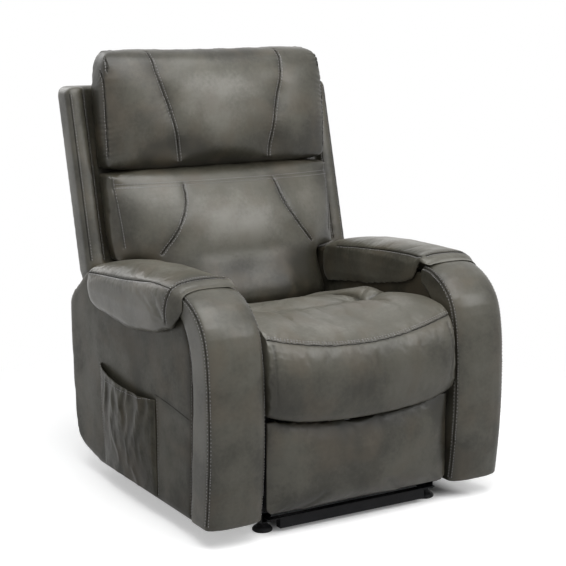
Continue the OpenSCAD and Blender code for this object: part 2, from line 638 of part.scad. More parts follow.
// A cushion ring at height z: superellipse of half width w between the front f and the rear b
function oval(z, w, f, b, p, crown, dent) = let (n = 18, mid = (f + b) / 2, h = (b - f) / 2)
    [for (i = [0:2 * n - 1]) let (a = 180 / n * (i + 0.5), x = w * pw(cos(a), 2 / p), s = pw(sin(a), 2 / p),
        y = mid - h * s, c = s > 0 ? crown * (1 - pow(x / w, 2)) - dent(x, z) : 0) [x, y - c * min(1, abs(s)), z]];
function soft_rings(zs, w, f, b, p, crown, dent, low, high) = let (z0 = zs[0], z1 = zs[len(zs) - 1])
    [for (z = zs) let (r = z - z0 < z1 - z ? low : high, d = min(z - z0, z1 - z) / r,
        s = d >= 1 ? 0 : 1 - sqrt(max(0, 1 - (1 - d) * (1 - d))), ff = f(z), bb = b(z))
        oval(z, w(z) - s * r * 0.75, ff + s * (bb - ff) * min(0.38, r / 55), bb - s * (bb - ff) * 0.16, p,
            crown(z), dent)];
// Lumbar cushion: wide over the arms, narrow between them, with two curved seams. Its tables run from
// its underside, 0, to the crease, 1, and their depths are taken from the plane of the wings
function lumbar_u(z) = (z - lumbar_bottom) / (crease - lumbar_bottom);
lumbar_front = [[0, -110], [0.124, -137], [0.385, -126.5], [0.649, -112], [0.873, -94], [1, -86]];
lumbar_crown = [[0, 60], [0.385, 84], [0.46, 80], [0.649, 58], [0.873, 32], [1, 20]];
lumbar_seam = [[0, 175], [0.33, 168], [0.54, 150], [0.776, 128], [1, 134]];
function lumbar_dent(x, z) = 6 * bump(abs(x) - at(lumbar_u(z), lumbar_seam), 14) + 5 * bump(crease - z - 33, 12);
module lumbar_cushion() color("tan") {
    half = function(z) z < lumbar_step ? lumbar_half
        : cushion_half - 6 * (1 - min(1, (z - lumbar_step) / 40));
    crown = function(z) at(lumbar_u(z), lumbar_crown) * pow(half(z) / cushion_half, 2);
    front = function(z) plane(z) + at(lumbar_u(z), lumbar_front) + crown(z);
    rear = function(z) plane(z) + wing_step - gap;
    wide = crease - lumbar_step;
    loft(soft_rings(concat([for (d = [0, 5, 18, 47, 94, 124]) lumbar_bottom + d], [lumbar_step - 1],
        [for (t = [0, 0.045, 0.14, 0.24, 0.4, 0.62, 0.77, 0.855, 0.92, 0.965]) lumbar_step + t * wide],
        [crease - gap]), half, front, rear, 7, crown, function(x, z) lumbar_dent(x, z), 22, 9));
}
// Head cushion: a pillow with two curved seams, boxed sides and a rolled top. Its tables run from the
// crease, 0, to its top, 1
function head_u(z) = (z - crease) / (head_top - crease);
head_front = [[0, -84], [0.081, -87], [0.236, -90], [0.405, -96.5], [0.56, -101], [0.76, -111], [0.89, -114],
    [1, -103]];
head_crown = [[0, 24], [0.236, 14], [0.56, 6], [1, 3]];
head_rear = [[0, 20], [0.168, 18.7], [0.405, 11.5], [0.618, 4], [0.825, -6.6], [1, -33]];
head_seam = [[0.05, 132], [0.243, 142], [0.566, 160], [0.858, 184], [1, 196]];
function head_dent(x, z) = 7 * bump(abs(x) - at(head_u(z), head_seam), 13) * (head_u(z) > 0.05 ? 1 : 0.3);
module head_cushion() color("tan") loft(soft_rings([for (t = [0.001, 0.012, 0.03, 0.05, 0.12, 0.236, 0.372, 0.5,
    0.631, 0.76, 0.845, 0.9, 0.94, 0.97, 0.99, 1]) crease + t * (head_top - crease)],
    function(z) cushion_half - 12 * bump(z - head_top, 65),
    function(z) plane(z) + at(head_u(z), head_front) + at(head_u(z), head_crown),
    function(z) plane(z) + min(at(head_u(z), head_rear), z < shell_top + 3 ? wing_step - gap : 400), 7,
    function(z) at(head_u(z), head_crown), function(x, z) head_dent(x, z), 10, 34));

// ---- Footrest ----
module footrest_drive_links() color("gray") both() {
    difference() {
        union() {
            bar(S1, E1, link_r + 1, drive_x, link_t);
            rod_x(S1, journal_r + 8, drive_x, link_t);
        }
        bore(S1, journal_r + fit, drive_x, link_t);
    }
    pin_in(E1, drive_x, pin_r);
}
module footrest_torque_tube() color("gray")
    torque_tube(S1, torque_r, drive_x - 0.2, plate_x + link_t - 0.5);
module footrest_long_links() color("gray") both() {
    difference() {
        bar(E1, F1, link_r, long_x, link_t);
        bore(E1, pin_r + fit, long_x, link_t);
        bore(M, pin_r + tong_play, long_x, link_t);
    }
    pin_in(F1, long_x, pin_r);
}
module footrest_cross_links() color("gray") both() {
    difference() {
        union() {
            bar(S2, M, link_r + 1, drive_x, link_t);
            bar(M, E2, link_r + 2.5, drive_x, link_t);
        }
        bore(S2, pin_r + fit, drive_x, link_t);
    }
    pin_in(M, drive_x, pin_r);
    pin_in(E2, drive_x, pin_r);
}
module footrest_front_links() color("gray") both() {
    difference() {
        bar(E2, F2, link_r, long_x, link_t);
        bore(E2, pin_r + fit, long_x, link_t);
    }
    pin_in(F2, long_x, pin_r);
}
board_y = -384;
module footrest_brackets() color("gray") both() difference() {
    low = F2[1] - 15.5;
    high = F1[1] + 15;
    rear = max(F1[0], F2[0]) + 13;
    union() {
        translate([bracket_x, 0, 0]) rotate([90, 0, 90]) linear_extrude(link_t) polygon([[board_y, low],
            [rear - 8, low], [rear, low + 8], [rear, F2[1] + 10], [rear - 3, F1[1] - 8], [rear - 3, high - 8],
            [rear - 10, high], [board_y, high]]);
        translate([bracket_x - 22, board_y, low + 2]) cube([24, 3, high - low - 4]);
    }
    bore(F1, pin_r + fit, bracket_x, link_t);
    bore(F2, pin_r + tong_play, bracket_x, link_t);
}
function foot_edge_in(x) = let (d = max(0, abs(x) - foot_half + foot_corner))
    foot_corner - sqrt(max(0, foot_corner * foot_corner - d * d));
function foot_z1(x) = foot_top + foot_rise * pow(x / foot_half, 2);
module footrest_board() color("peru") {
    w = foot_half - 5;
    xs = [for (i = [0:16]) -w + i * w / 8];
    translate([0, board_y, 0]) rotate([90, 0, 0]) linear_extrude(board_t) polygon(concat(
        [for (x = xs) [x, foot_z1(x) - 6]], [[w, foot_bottom + 22], [w - 6, foot_bottom + 10], [w - 20, foot_bottom + 5],
        [-w + 20, foot_bottom + 5], [-w + 6, foot_bottom + 10], [-w, foot_bottom + 22]]));
}
function foot_ring(x) = let (u = abs(x) / foot_half, y1 = board_y - board_t, z0 = foot_bottom + foot_edge_in(x),
    z1 = foot_z1(x) - foot_edge_in(x) * 0.6, n = 12)
    concat([for (i = [0:n]) let (v = i / n, a = 2 * v - 1, c = (1 - pow(u, 5)) * (1 - pow(abs(a), 5)))
        [x, y1 - foot_edge - foot_crown * c, z0 + v * (z1 - z0)]],
        [for (i = [n:-1:0]) [x, y1, z0 + i / n * (z1 - z0)]]);
module footrest_pad() color("tan") loft([for (u = [-1, -0.985, -0.955, -0.92, -0.82, -0.66, -0.4, 0, 0.4, 0.66,
    0.82, 0.92, 0.955, 0.985, 1]) foot_ring(u * foot_half)]);

base_side_rails();
base_front_rail();
base_cross_tubes();
riser_plates();
levelling_feet();
lift_motor_bracket();
lower_lift_links();
lift_torque_tube();
upper_lift_links();
lift_motor();
lift_rod();
carrier_plates();
seat_side_tubes();
seat_cross_tubes();
seat_springs();
seat_cushion();
arm_panel_left();
arm_panel_right();
arm_band_left();
arm_band_right();
arm_pillow_left();
arm_pillow_right();
side_pocket();
rear_apron();
control_box();
footrest_motor();
recline_bracket();
recline_motor();
recline_rod();
back_hinge_brackets();
back_torque_tube();
back_shell();
lumbar_cushion();
head_cushion();
footrest_drive_links();
footrest_torque_tube();
footrest_long_links();
footrest_cross_links();
footrest_front_links();
footrest_brackets();
footrest_board();
footrest_pad();
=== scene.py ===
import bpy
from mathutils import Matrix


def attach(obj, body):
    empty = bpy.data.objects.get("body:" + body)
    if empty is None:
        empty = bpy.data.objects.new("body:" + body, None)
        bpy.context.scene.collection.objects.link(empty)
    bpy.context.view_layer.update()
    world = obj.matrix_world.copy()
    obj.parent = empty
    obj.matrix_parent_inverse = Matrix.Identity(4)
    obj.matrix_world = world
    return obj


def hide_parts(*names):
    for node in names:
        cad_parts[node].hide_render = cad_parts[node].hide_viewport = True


bl_info = {
    "name": "Lift recliner chair",
    "version": (1, 0, 0),
    "blender": (4, 5, 0),
    "location": "View3D > Sidebar > Recliner",
    "description": "Dresses the packed lift recliner with its leather covers, stitching and finishes",
    "category": "Object",
}

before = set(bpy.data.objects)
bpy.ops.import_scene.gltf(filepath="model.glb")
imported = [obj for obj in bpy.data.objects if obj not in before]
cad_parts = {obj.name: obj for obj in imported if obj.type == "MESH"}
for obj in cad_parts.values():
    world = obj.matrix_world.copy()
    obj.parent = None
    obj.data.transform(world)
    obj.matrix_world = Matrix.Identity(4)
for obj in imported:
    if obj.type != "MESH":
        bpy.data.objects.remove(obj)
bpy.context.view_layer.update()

import math

import bmesh
import bpy
import numpy as np
from bpy.props import FloatProperty, FloatVectorProperty, PointerProperty
from mathutils import Matrix, Vector, noise
from mathutils.bvhtree import BVHTree
from mathutils.kdtree import KDTree

MM = 0.001
SEAM_STEP = 0.003  # between the points of a drawn seam, in metres
SEAM_GRIP = 0.005  # how far round a seam a cover is held down while it fills, in metres
SEAM_RUN = 7.0  # each seam counts its length from its own start, this far apart
BACKWARD, FORWARD = (0, 1, 0), (0, -1, 0)
AIR_FRAMES = 20
AIR = {  # how the cloth of a cover behaves while it fills
    "quality": 5, "mass": 0.3, "tension_stiffness": 20, "compression_stiffness": 8, "shear_stiffness": 6,
    "bending_stiffness": 0.4, "use_pressure": True, "vertex_group_mass": "held", "shrink_min": -0.004,
}


# ---- Meshes ----
def places(obj):
    """Every vertex of an object as one array."""
    co = np.empty(len(obj.data.vertices) * 3)
    obj.data.vertices.foreach_get("co", co)
    return co.reshape(-1, 3)


def facing(obj):
    """The normal at every vertex of an object."""
    n = np.empty(len(obj.data.vertices) * 3)
    obj.data.vertex_normals.foreach_get("vector", n)
    return n.reshape(-1, 3)


def shape(obj):
    return places(obj), facing(obj)


def move_to(obj, co):
    obj.data.vertices.foreach_set("co", np.ascontiguousarray(co, dtype=np.float32).ravel())
    obj.data.update()


def built(name, bm):
    """A new object from a finished bmesh."""
    mesh = bpy.data.meshes.new(name)
    bm.to_mesh(mesh)
    bm.free()
    obj = bpy.data.objects.new(name, mesh)
    bpy.context.scene.collection.objects.link(obj)
    return obj


def settle(obj):
    """Applies the modifiers of an object, so that its mesh is final."""
    graph = bpy.context.evaluated_depsgraph_get()
    mesh = bpy.data.meshes.new_from_object(obj.evaluated_get(graph))
    old = obj.data
    obj.modifiers.clear()
    obj.data = mesh
    bpy.data.meshes.remove(old)
    mesh.name = obj.name
    return obj


def smooth_faces(obj):
    obj.data.polygons.foreach_set("use_smooth", [True] * len(obj.data.polygons))


def cover_of(node, name):
    """A merged copy of a solid, as the start of its cover."""
    bm = bmesh.new()
    bm.from_mesh(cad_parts[node].data)
    bmesh.ops.remove_doubles(bm, verts=bm.verts, dist=1e-5)
    bmesh.ops.recalc_face_normals(bm, faces=bm.faces)
    return built(name, bm)


def even(obj, voxel, rounding):
    """Gives a cover an even skin, and rounds its edges."""
    skin = obj.modifiers.new("skin", "REMESH")
    skin.mode = "VOXEL"
    skin.voxel_size = voxel
    soft = obj.modifiers.new("round", "SMOOTH")
    soft.factor = 0.5
    soft.iterations = rounding
    return settle(obj)


def finer(obj):
    """One subdivision of a cover."""
    sub = obj.modifiers.new("fine", "SUBSURF")
    sub.levels = sub.render_levels = 1
    settle(obj)


def tree_of(mesh):
    """A search tree over the faces of a mesh."""
    return BVHTree.FromPolygons([v.co for v in mesh.vertices], [p.vertices for p in mesh.polygons])


def solid_tree(node):
    return tree_of(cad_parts[node].data)


def stuff(obj, held, swell, share=1.0):
    """Fills a cover with air until it stands full: vertices that held picks stay, and none moves more than swell."""
    start = places(obj)
    group = obj.vertex_groups.new(name="held")
    group.add([int(i) for i in np.nonzero(held(start))[0]], 1.0, "REPLACE")
    cloth = obj.modifiers.new("air", "CLOTH")
    for key, value in AIR.items():
        setattr(cloth.settings, key, value)
    cloth.settings.uniform_pressure_force = bpy.context.scene.recliner.pressure * share
    cloth.settings.effector_weights.gravity = 0
    cloth.collision_settings.use_collision = False
    cloth.point_cache.frame_start = 1
    cloth.point_cache.frame_end = AIR_FRAMES
    for f in range(1, AIR_FRAMES + 1):
        bpy.context.scene.frame_set(f)
    blown = obj.evaluated_get(bpy.context.evaluated_depsgraph_get())
    step = places(blown) - start
    obj.modifiers.clear()
    obj.vertex_groups.clear()
    bpy.context.scene.frame_set(1)
    size = np.linalg.norm(step, axis=1, keepdims=True)
    move_to(obj, start + step * np.minimum(1, swell / np.maximum(size, 1e-9)))


def keep_inside(obj, node, proud):
    """Pulls back what stands more than proud(places) out of the solid a cover belongs to."""
    tree = solid_tree(node)
    co = places(obj)
    limit = proud(co)
    for i, p in enumerate(co):
        near, normal, _, _ = tree.find_nearest(Vector(p))
        out = (Vector(p) - near).dot(normal)
        if out > limit[i]:
            co[i] = np.array(near + (Vector(p) - near).normalized() * limit[i])
    move_to(obj, co)


# ---- Seams ----
def spaced(points, step):
    """Points a step apart along a smooth line through the given ones."""
    p = [Vector(q) for q in points]
    line = []
    for i in range(len(p) - 1):
        a, b, c, d = p[max(0, i - 1)], p[i], p[i + 1], p[min(len(p) - 1, i + 2)]
        n = max(2, int((c - b).length / step * 2))
        for j in range(n):
            t = j / n
            line.append(0.5 * (2 * b + (c - a) * t + (2 * a - 5 * b + 4 * c - d) * t * t
                + (3 * b - a - 3 * c + d) * t ** 3))
    line.append(p[-1])
    out, gone = [line[0]], 0.0
    for a, b in zip(line, line[1:]):
        gone += (b - a).length
        if gone >= step:
            out.append(b)
            gone = 0.0
    return out


def in_metres(points):
    return [Vector(p) * MM for p in points]


def drawn(tree, points, along):
    """A seam drawn on a skin: the points, in mm, are carried along a direction until they meet it."""
    way = Vector(along).normalized()
    before, through = 0.12, 0.3
    line = []
    for q in spaced(in_metres(points), SEAM_STEP):
        hit, normal, _, _ = tree.ray_cast(q - way * before, way, through)
        if hit is None:
            hit, normal, _, _ = tree.find_nearest(q)
        line.append((hit, normal))
    return line


def pinned(tree, points):
    """A seam laid on the places of a skin that are nearest to the points, in mm."""
    return [tree.find_nearest(q)[:2] for q in spaced(in_metres(points), SEAM_STEP)]


def laid(obj, lines, way=BACKWARD):
    tree = tree_of(obj.data)
    return [drawn(tree, line, way) for line in lines]


def to_side(points, side):
    """Points of the left half, or mirrored to the right half where side is -1."""
    return [(side * p[0],) + tuple(p[1:]) for p in points]


def both(points):
    return [points, to_side(points, -1)]


def from_seams(co, seams):
    """For each vertex, how far the nearest seam is and how far along it that is."""
    tree = KDTree(sum(len(s) for s in seams))
    along = []
    for k, seam in enumerate(seams):
        run = SEAM_RUN * k
        last = seam[0][0]
        for point, _ in seam:
            run += (point - last).length
            last = point
            tree.insert(point, len(along))
            along.append(run)
    tree.balance()
    far = np.empty(len(co))
    run = np.empty(len(co))
    for i, p in enumerate(co):
        _, k, far[i] = tree.find(p)
        run[i] = along[k]
    return far, run


def ease(v, lo, hi):
    """A smooth step from 0 at lo to 1 at hi."""
    t = np.clip((v - lo) / (hi - lo), 0, 1)
    return t * t * (3 - 2 * t)


def ramp(v, start, length):
    """A straight rise from 0 to 1 that begins at start."""
    return np.clip((v - start) / length, 0, 1)


def hill(far, width, power=2):
    """A smooth hill that is 1 high at 0 and dies away past its width."""
    return np.exp(-((far / width) ** power))


def ripple(co, scale, seed):
    """Smooth noise between -1 and 1 at every vertex; scale is the size of one wave in metres."""
    shift = Vector((seed * 3.7, seed * 1.3, seed * 2.1))
    return np.array([noise.noise(Vector(p) / scale + shift) for p in co])


def neighbours(mesh):
    """A function that gives every vertex the mean of its neighbours' values."""
    edge = np.empty(len(mesh.edges) * 2, dtype=np.int64)
    mesh.edges.foreach_get("vertices", edge)
    edge = edge.reshape(-1, 2)
    ends, starts = np.concatenate((edge, edge[:, ::-1])).T
    size = len(mesh.vertices)
    count = np.bincount(ends, minlength=size).astype(float)

    def spread(value):
        columns = value.reshape(size, -1).T
        mean = [np.bincount(ends, weights=column[starts], minlength=size) / count for column in columns]
        return np.array(mean).T.reshape(value.shape)

    return spread


def soften(obj, where, rounds):
    """Smooths a cover where a share between 0 and 1 says so."""
    spread = neighbours(obj.data)
    co = places(obj)
    share = 0.5 * where(co, facing(obj))[:, None]
    for _ in range(rounds):
        co = co + share * (spread(co) - co)
    move_to(obj, co)


def hollow(obj, rounds):
    """How deep each vertex lies below its neighbours, smoothed: positive in creases, negative on crowns."""
    co, n = shape(obj)
    spread = neighbours(obj.data)
    wide = co
    for _ in range(rounds):
        wide = spread(wide)
    deep = ((wide - co) * n).sum(axis=1)
    for _ in range(3):
        deep = spread(deep)
    return deep


def note(obj, name, value):
    """Keeps a value at every vertex, for the leather to read."""
    layer = obj.data.attributes.new(name, "FLOAT", "POINT")
    layer.data.foreach_set("value", np.ascontiguousarray(value, dtype=np.float32))


def tailor(obj, seams, dip, wave, painted_light, seed, light=(), depth=2.0, width=3.0, reach=12.0, pucker=0.3, fade=16.0,
        sway=0.6, dark=0.75):
    """Sews the seams into a cover, in mm: a sharp groove in a soft dip, puckers that die away, and a hand-made sway."""
    co, n = shape(obj)
    far, run = from_seams(co, seams)
    far, run = far / MM, run / MM
    sink = depth * hill(far, width) + dip * hill(far, reach)
    if light:
        beside = from_seams(co, light)[0] / MM
        sink = np.maximum(sink, 0.7 * hill(beside, width) + 0.5 * hill(beside, reach))
    drift = ripple(co, 0.045, seed) * 2.4
    sharp = np.clip(ripple(co, 0.07, seed + 5) * 1.6 + 0.45, 0, 1)
    gather = pucker * sharp * np.exp(-far / fade) * np.sin(2 * math.pi * run / wave + drift * 2)
    slack = 0.85 * ripple(co, 0.16, seed + 2) + 0.15 * ripple(co, 0.06, seed + 3)
    loose = sway * slack * (1 - np.exp(-far / 30))
    move_to(obj, co + n * ((gather + loose - sink) * MM)[:, None])
    # Painted shade: the seam value darkens the leather within a few mm of each seam, where the groove lies in shade.
    note(obj, "seam", hill(far, 5.0))
    # Painted light and shade: darker towards the seams and in the hollows, and paler where the cushion's own mask puts
    # its lit crown.
    shade = (1 - dark * np.exp(-far / 38)) * painted_light(co)
    note(obj, "painted_shading", np.clip(shade - 230 * np.clip(hollow(obj, rounds=10), -0.0004, 0.004), 0, 1))


def crease(co, n, line, depth, width, taper=True):
    """How far each vertex of a top sinks into a crease along a line of points, in mm."""
    points = spaced(in_metres(line), 0.004)
    best = np.full(len(co), 1e9)
    share = np.zeros(len(co))
    for k, p in enumerate(points):
        d = np.linalg.norm(co[:, :2] - np.array(p[:2]), axis=1)
        closer = d < best
        best[closer] = d[closer]
        share[closer] = k / max(1, len(points) - 1)
    ends = np.sin(math.pi * np.clip(share * 0.9 + 0.1, 0, 1)) ** 0.5 if taper else 1.0
    return depth * MM * ends * hill(best, width * MM, 1.2) * (n[:, 2] > 0.2)


# ---- Stitching ----
def sew(name, body, rows, yarn):
    """Stitches as small slugs of thread. A row is (tree, seam, offset, pitch, half length, radius), in mm."""
    lift, same_face = 0.4 * MM, 0.3
    bm = bmesh.new()
    for tree, seam, offset, pitch, half, radius in rows:
        gone = 0.0
        for (a, na), (b, nb) in zip(seam, seam[1:]):
            gone += (b - a).length
            if gone < pitch * MM:
                continue
            gone = 0.0
            t = (b - a).normalized()
            up = (na + nb).normalized()
            side = up.cross(t).normalized()
            spot, normal, _, _ = tree.find_nearest(b + side * offset * MM)
            if normal.dot(up) < same_face:
                continue
            t = (t - normal * t.dot(normal)).normalized()
            turn = Matrix((t, normal.cross(t), normal)).transposed().to_4x4()
            turn.translation = spot + normal * lift
            size = Matrix.Diagonal((half * MM, radius * MM, radius * 0.8 * MM, 1))
            bmesh.ops.create_icosphere(bm, subdivisions=1, radius=1.0, matrix=turn @ size)
    obj = built(name, bm)
    smooth_faces(obj)
    obj.data.materials.append(finish(yarn))
    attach(obj, body)


def single(tree, seam, offset):
    looks = bpy.context.scene.recliner
    return [(tree, seam, offset, looks.stitch_pitch, looks.stitch_half, 0.85)]


def double(tree, seam, gap=5.0):
    return single(tree, seam, -gap) + single(tree, seam, gap)


def topstitch(name, body, rows):
    sew(f"{name}_topstitch", body, rows, "thread")


def seam_shadow(name, body, tree, seams):
    """Painted seam shadow: dark slugs along the seams, where the groove between two leathers lies in shade."""
    sew(f"{name}_seam", body, [(tree, seam, 0.0, 3.0, 2.9, 0.95) for seam in seams], "seam shadow line")


# ---- Materials ----
def feed(tree, socket, value):
    """Gives a socket the output of another node, a number or a colour."""
    if isinstance(value, bpy.types.NodeSocket):
        tree.links.new(value, socket)
    elif isinstance(value, (int, float)):
        socket.default_value = value
    else:
        socket.default_value = (*value[:3], 1.0)


def new(tree, kind, **values):
    """A new shader node with its named sockets fed."""
    node = tree.nodes.new(f"ShaderNode{kind}")
    for key, value in values.items():
        feed(tree, node.inputs[key], value)
    return node


def group(name, inputs, outputs):
    """A node group, with what comes into it and what goes out."""
    tree = bpy.data.node_groups.new(name, "ShaderNodeTree")
    for key, kind, value in inputs:
        socket = tree.interface.new_socket(name=key, in_out="INPUT", socket_type=kind)
        if value is not None:
            socket.default_value = value
    for key in outputs:
        tree.interface.new_socket(name=key, in_out="OUTPUT", socket_type="NodeSocketFloat")
    return tree, tree.nodes.new("NodeGroupInput").outputs, tree.nodes.new("NodeGroupOutput").inputs


def maths(tree, op, *values):
    node = tree.nodes.new("ShaderNodeMath")
    node.operation = op
    for socket, value in zip(node.inputs, values):
        feed(tree, socket, value)
    return node.outputs[0]


def times(tree, a, b):
    return maths(tree, "MULTIPLY", a, b)


def weighed(tree, *parts):
    """The sum of parts, each a value and its weight."""
    *rest, last = [times(tree, value, weight) for value, weight in parts]
    for part in reversed(rest):
        last = maths(tree, "ADD", part, last)
    return last


def noise_at(tree, vector, scale, detail, rough=0.5, distortion=0.0):
    node = new(tree, "TexNoise", Vector=vector, Scale=scale, Detail=detail, Roughness=rough, Distortion=distortion)
    return node.outputs["Fac"]


def blend_colour(tree, factor, a, b):
    node = tree.nodes.new("ShaderNodeMix")
    node.data_type = "RGBA"
    for key, value in (("Factor", factor), ("A", a), ("B", b)):
        feed(tree, node.inputs[key], value)
    return node.outputs["Result"]


def ranged(tree, value, lo, hi, to_lo=0.0, to_hi=1.0):
    ends = {"Value": value, "From Min": lo, "From Max": hi, "To Min": to_lo, "To Max": to_hi}
    node = tree.nodes.new("ShaderNodeMapRange")
    node.interpolation_type = "SMOOTHSTEP"
    for key, end in ends.items():
        feed(tree, node.inputs[key], end)
    return node.outputs["Result"]


VECTOR = ("Vector", "NodeSocketVector", None)
SCALE = ("Scale", "NodeSocketFloat", 1.0)


def mottle_group():
    """Soft clouds as rubbed leather has: wide patches, smaller stains and a warm drift."""
    tree, i, o = group("Leather mottle", [VECTOR], ["Cloud", "Warmth"])
    wide = noise_at(tree, i["Vector"], 7.0, 3, 0.5, 0.25)
    small = noise_at(tree, i["Vector"], 24.0, 4, 0.6, 0.2)
    fine = noise_at(tree, i["Vector"], 110.0, 4, 0.65)
    cloud = weighed(tree, (wide, 0.66), (small, 0.14), (fine, 0.2))
    feed(tree, o["Cloud"], ranged(tree, cloud, 0.34, 0.66))
    feed(tree, o["Warmth"], ranged(tree, noise_at(tree, i["Vector"], 11.0, 2, 0.5, 0.3), 0.42, 0.7))
    return tree


def grain_group():
    """Leather grain: pebbles a millimetre or two across, with pores and fine creases between them."""
    tree, i, o = group("Leather grain", [VECTOR, SCALE], ["Height", "Pores"])
    pebble = tree.nodes.new("ShaderNodeTexVoronoi")
    pebble.feature = "SMOOTH_F1"
    feed(tree, pebble.inputs["Vector"], i["Vector"])
    feed(tree, pebble.inputs["Scale"], times(tree, i["Scale"], 700.0))
    feed(tree, pebble.inputs["Smoothness"], 0.35)
    pores = noise_at(tree, i["Vector"], times(tree, i["Scale"], 1500.0), 2)
    folds = noise_at(tree, i["Vector"], times(tree, i["Scale"], 70.0), 5, 0.62, 1.1)
    line = maths(tree, "ABSOLUTE", maths(tree, "SUBTRACT", folds, 0.5))
    feed(tree, o["Height"], weighed(tree, (pebble.outputs["Distance"], -0.55), (pores, 0.25), (line, 0.6)))
    feed(tree, o["Pores"], ranged(tree, pores, 0.35, 0.7))
    return tree


def wear_group():
    """Dust and rub marks for metal and plastic."""
    tree, i, o = group("Shop wear", [VECTOR, SCALE], ["Smudge", "Speck"])
    smudge = noise_at(tree, i["Vector"], times(tree, i["Scale"], 18.0), 5, 0.6)
    speck = noise_at(tree, i["Vector"], times(tree, i["Scale"], 700.0), 2)
    feed(tree, o["Smudge"], ranged(tree, smudge, 0.35, 0.7))
    feed(tree, o["Speck"], ranged(tree, speck, 0.42, 0.62))
    return tree


GROUPS = {}


def placed_group(tree, maker, vector, scale=None):
    """The outputs of one of the groups above in a material; it is built the first time it is asked for."""
    if maker not in GROUPS:
        GROUPS[maker] = maker()
    node = tree.nodes.new("ShaderNodeGroup")
    node.node_tree = GROUPS[maker]
    feed(tree, node.inputs["Vector"], vector)
    if scale is not None:
        node.inputs["Scale"].default_value = scale
    return node.outputs


def material(name, rough, specular=0.5, metallic=0.0):
    mat = bpy.data.materials.new(name)
    mat.use_nodes = True
    shader = mat.node_tree.nodes["Principled BSDF"]
    for key, value in (("Roughness", rough), ("Specular IOR Level", specular), ("Metallic", metallic)):
        shader.inputs[key].default_value = value
    return mat, mat.node_tree, shader


def object_vector(tree, shift=(0, 0, 0), scale=(1, 1, 1)):
    where = tree.nodes.new("ShaderNodeTexCoord")
    mapping = tree.nodes.new("ShaderNodeMapping")
    mapping.inputs["Location"].default_value = shift
    mapping.inputs["Scale"].default_value = scale
    tree.links.new(where.outputs["Object"], mapping.inputs["Vector"])
    return mapping.outputs["Vector"]


def bumped(tree, shader, height, strength, distance):
    node = new(tree, "Bump", Strength=strength, Distance=distance, Height=height)
    tree.links.new(node.outputs["Normal"], shader.inputs["Normal"])


def noted(tree, name):
    """The value that note() keeps at the vertices of a cover."""
    node = tree.nodes.new("ShaderNodeAttribute")
    node.attribute_name = name
    return node.outputs["Fac"]


def leather(name, shift, gloss):
    """Grey-taupe leather with real mottling, painted highlights on the crowns and painted shade along the seams and in
    the hollows.
    """
    looks = bpy.context.scene.recliner
    mat, tree, shader = material(name, 0.34, gloss)
    vector = object_vector(tree, shift)
    clouds = placed_group(tree, mottle_group, vector)
    grain = placed_group(tree, grain_group, vector, 1.0)
    uneven = maths(tree, "SUBTRACT", clouds["Cloud"], 0.5)
    # Painted light and shade from the cover, with the real mottling over it.
    level = weighed(tree, (noted(tree, "painted_shading"), 0.85), (uneven, 0.5))
    base = blend_colour(tree, ranged(tree, level, 0.0, 0.55), looks.leather_dark, looks.leather_mid)
    for factor, colour in (
        (ranged(tree, level, 0.45, 1.1), looks.leather_highlight),
        (times(tree, clouds["Warmth"], 0.42), looks.leather_warm),
        (times(tree, grain["Pores"], 0.08), looks.leather_dark),
        # Painted shade along the seams and in the hollows of the pocket's folds.
        (times(tree, noted(tree, "seam"), 0.55), looks.leather_dark),
    ):
        base = blend_colour(tree, factor, base, colour)
    feed(tree, shader.inputs["Base Color"], base)
    feed(tree, shader.inputs["Roughness"], ranged(tree, clouds["Cloud"], 0.0, 1.0, 0.4, 0.29))
    bumped(tree, shader, grain["Height"], 0.3, 0.0007)
    return mat


def thread(name, colour, rough):
    """Twisted thread; without a colour of its own it takes the one of the panel."""
    colour = colour or tuple(bpy.context.scene.recliner.thread_colour)
    mat, tree, shader = material(name, rough, 0.1)
    twist = noise_at(tree, object_vector(tree), 900.0, 2)
    base = blend_colour(tree, times(tree, twist, 0.5), colour, [c * 0.45 for c in colour])
    feed(tree, shader.inputs["Base Color"], base)
    bumped(tree, shader, twist, 0.4, 0.0004)
    return mat


def powder_coat(name, colour, rough, speck):
    mat, tree, shader = material(name, rough, 0.15)
    wear = placed_group(tree, wear_group, object_vector(tree))
    pale = [min(1.0, c * 2.2 + 0.012) for c in colour]
    feed(tree, shader.inputs["Base Color"], blend_colour(tree, times(tree, wear["Smudge"], 0.45), colour, pale))
    feed(tree, shader.inputs["Roughness"], ranged(tree, wear["Smudge"], 0.0, 1.0, rough - 0.08, rough + 0.1))
    bumped(tree, shader, wear["Speck"], speck, 0.0006)
    return mat


def plated(name, colour, rough, stretch):
    mat, tree, shader = material(name, rough, metallic=1.0)
    lines = noise_at(tree, object_vector(tree, scale=stretch), 260.0, 4, 0.6)
    wear = placed_group(tree, wear_group, object_vector(tree), 1.6)
    dull = [c * 0.55 for c in colour]
    feed(tree, shader.inputs["Base Color"], blend_colour(tree, times(tree, wear["Smudge"], 0.6), colour, dull))
    feed(tree, shader.inputs["Roughness"], ranged(tree, lines, 0.3, 0.7, rough - 0.07, rough + 0.12))
    bumped(tree, shader, lines, 0.12, 0.0003)
    return mat


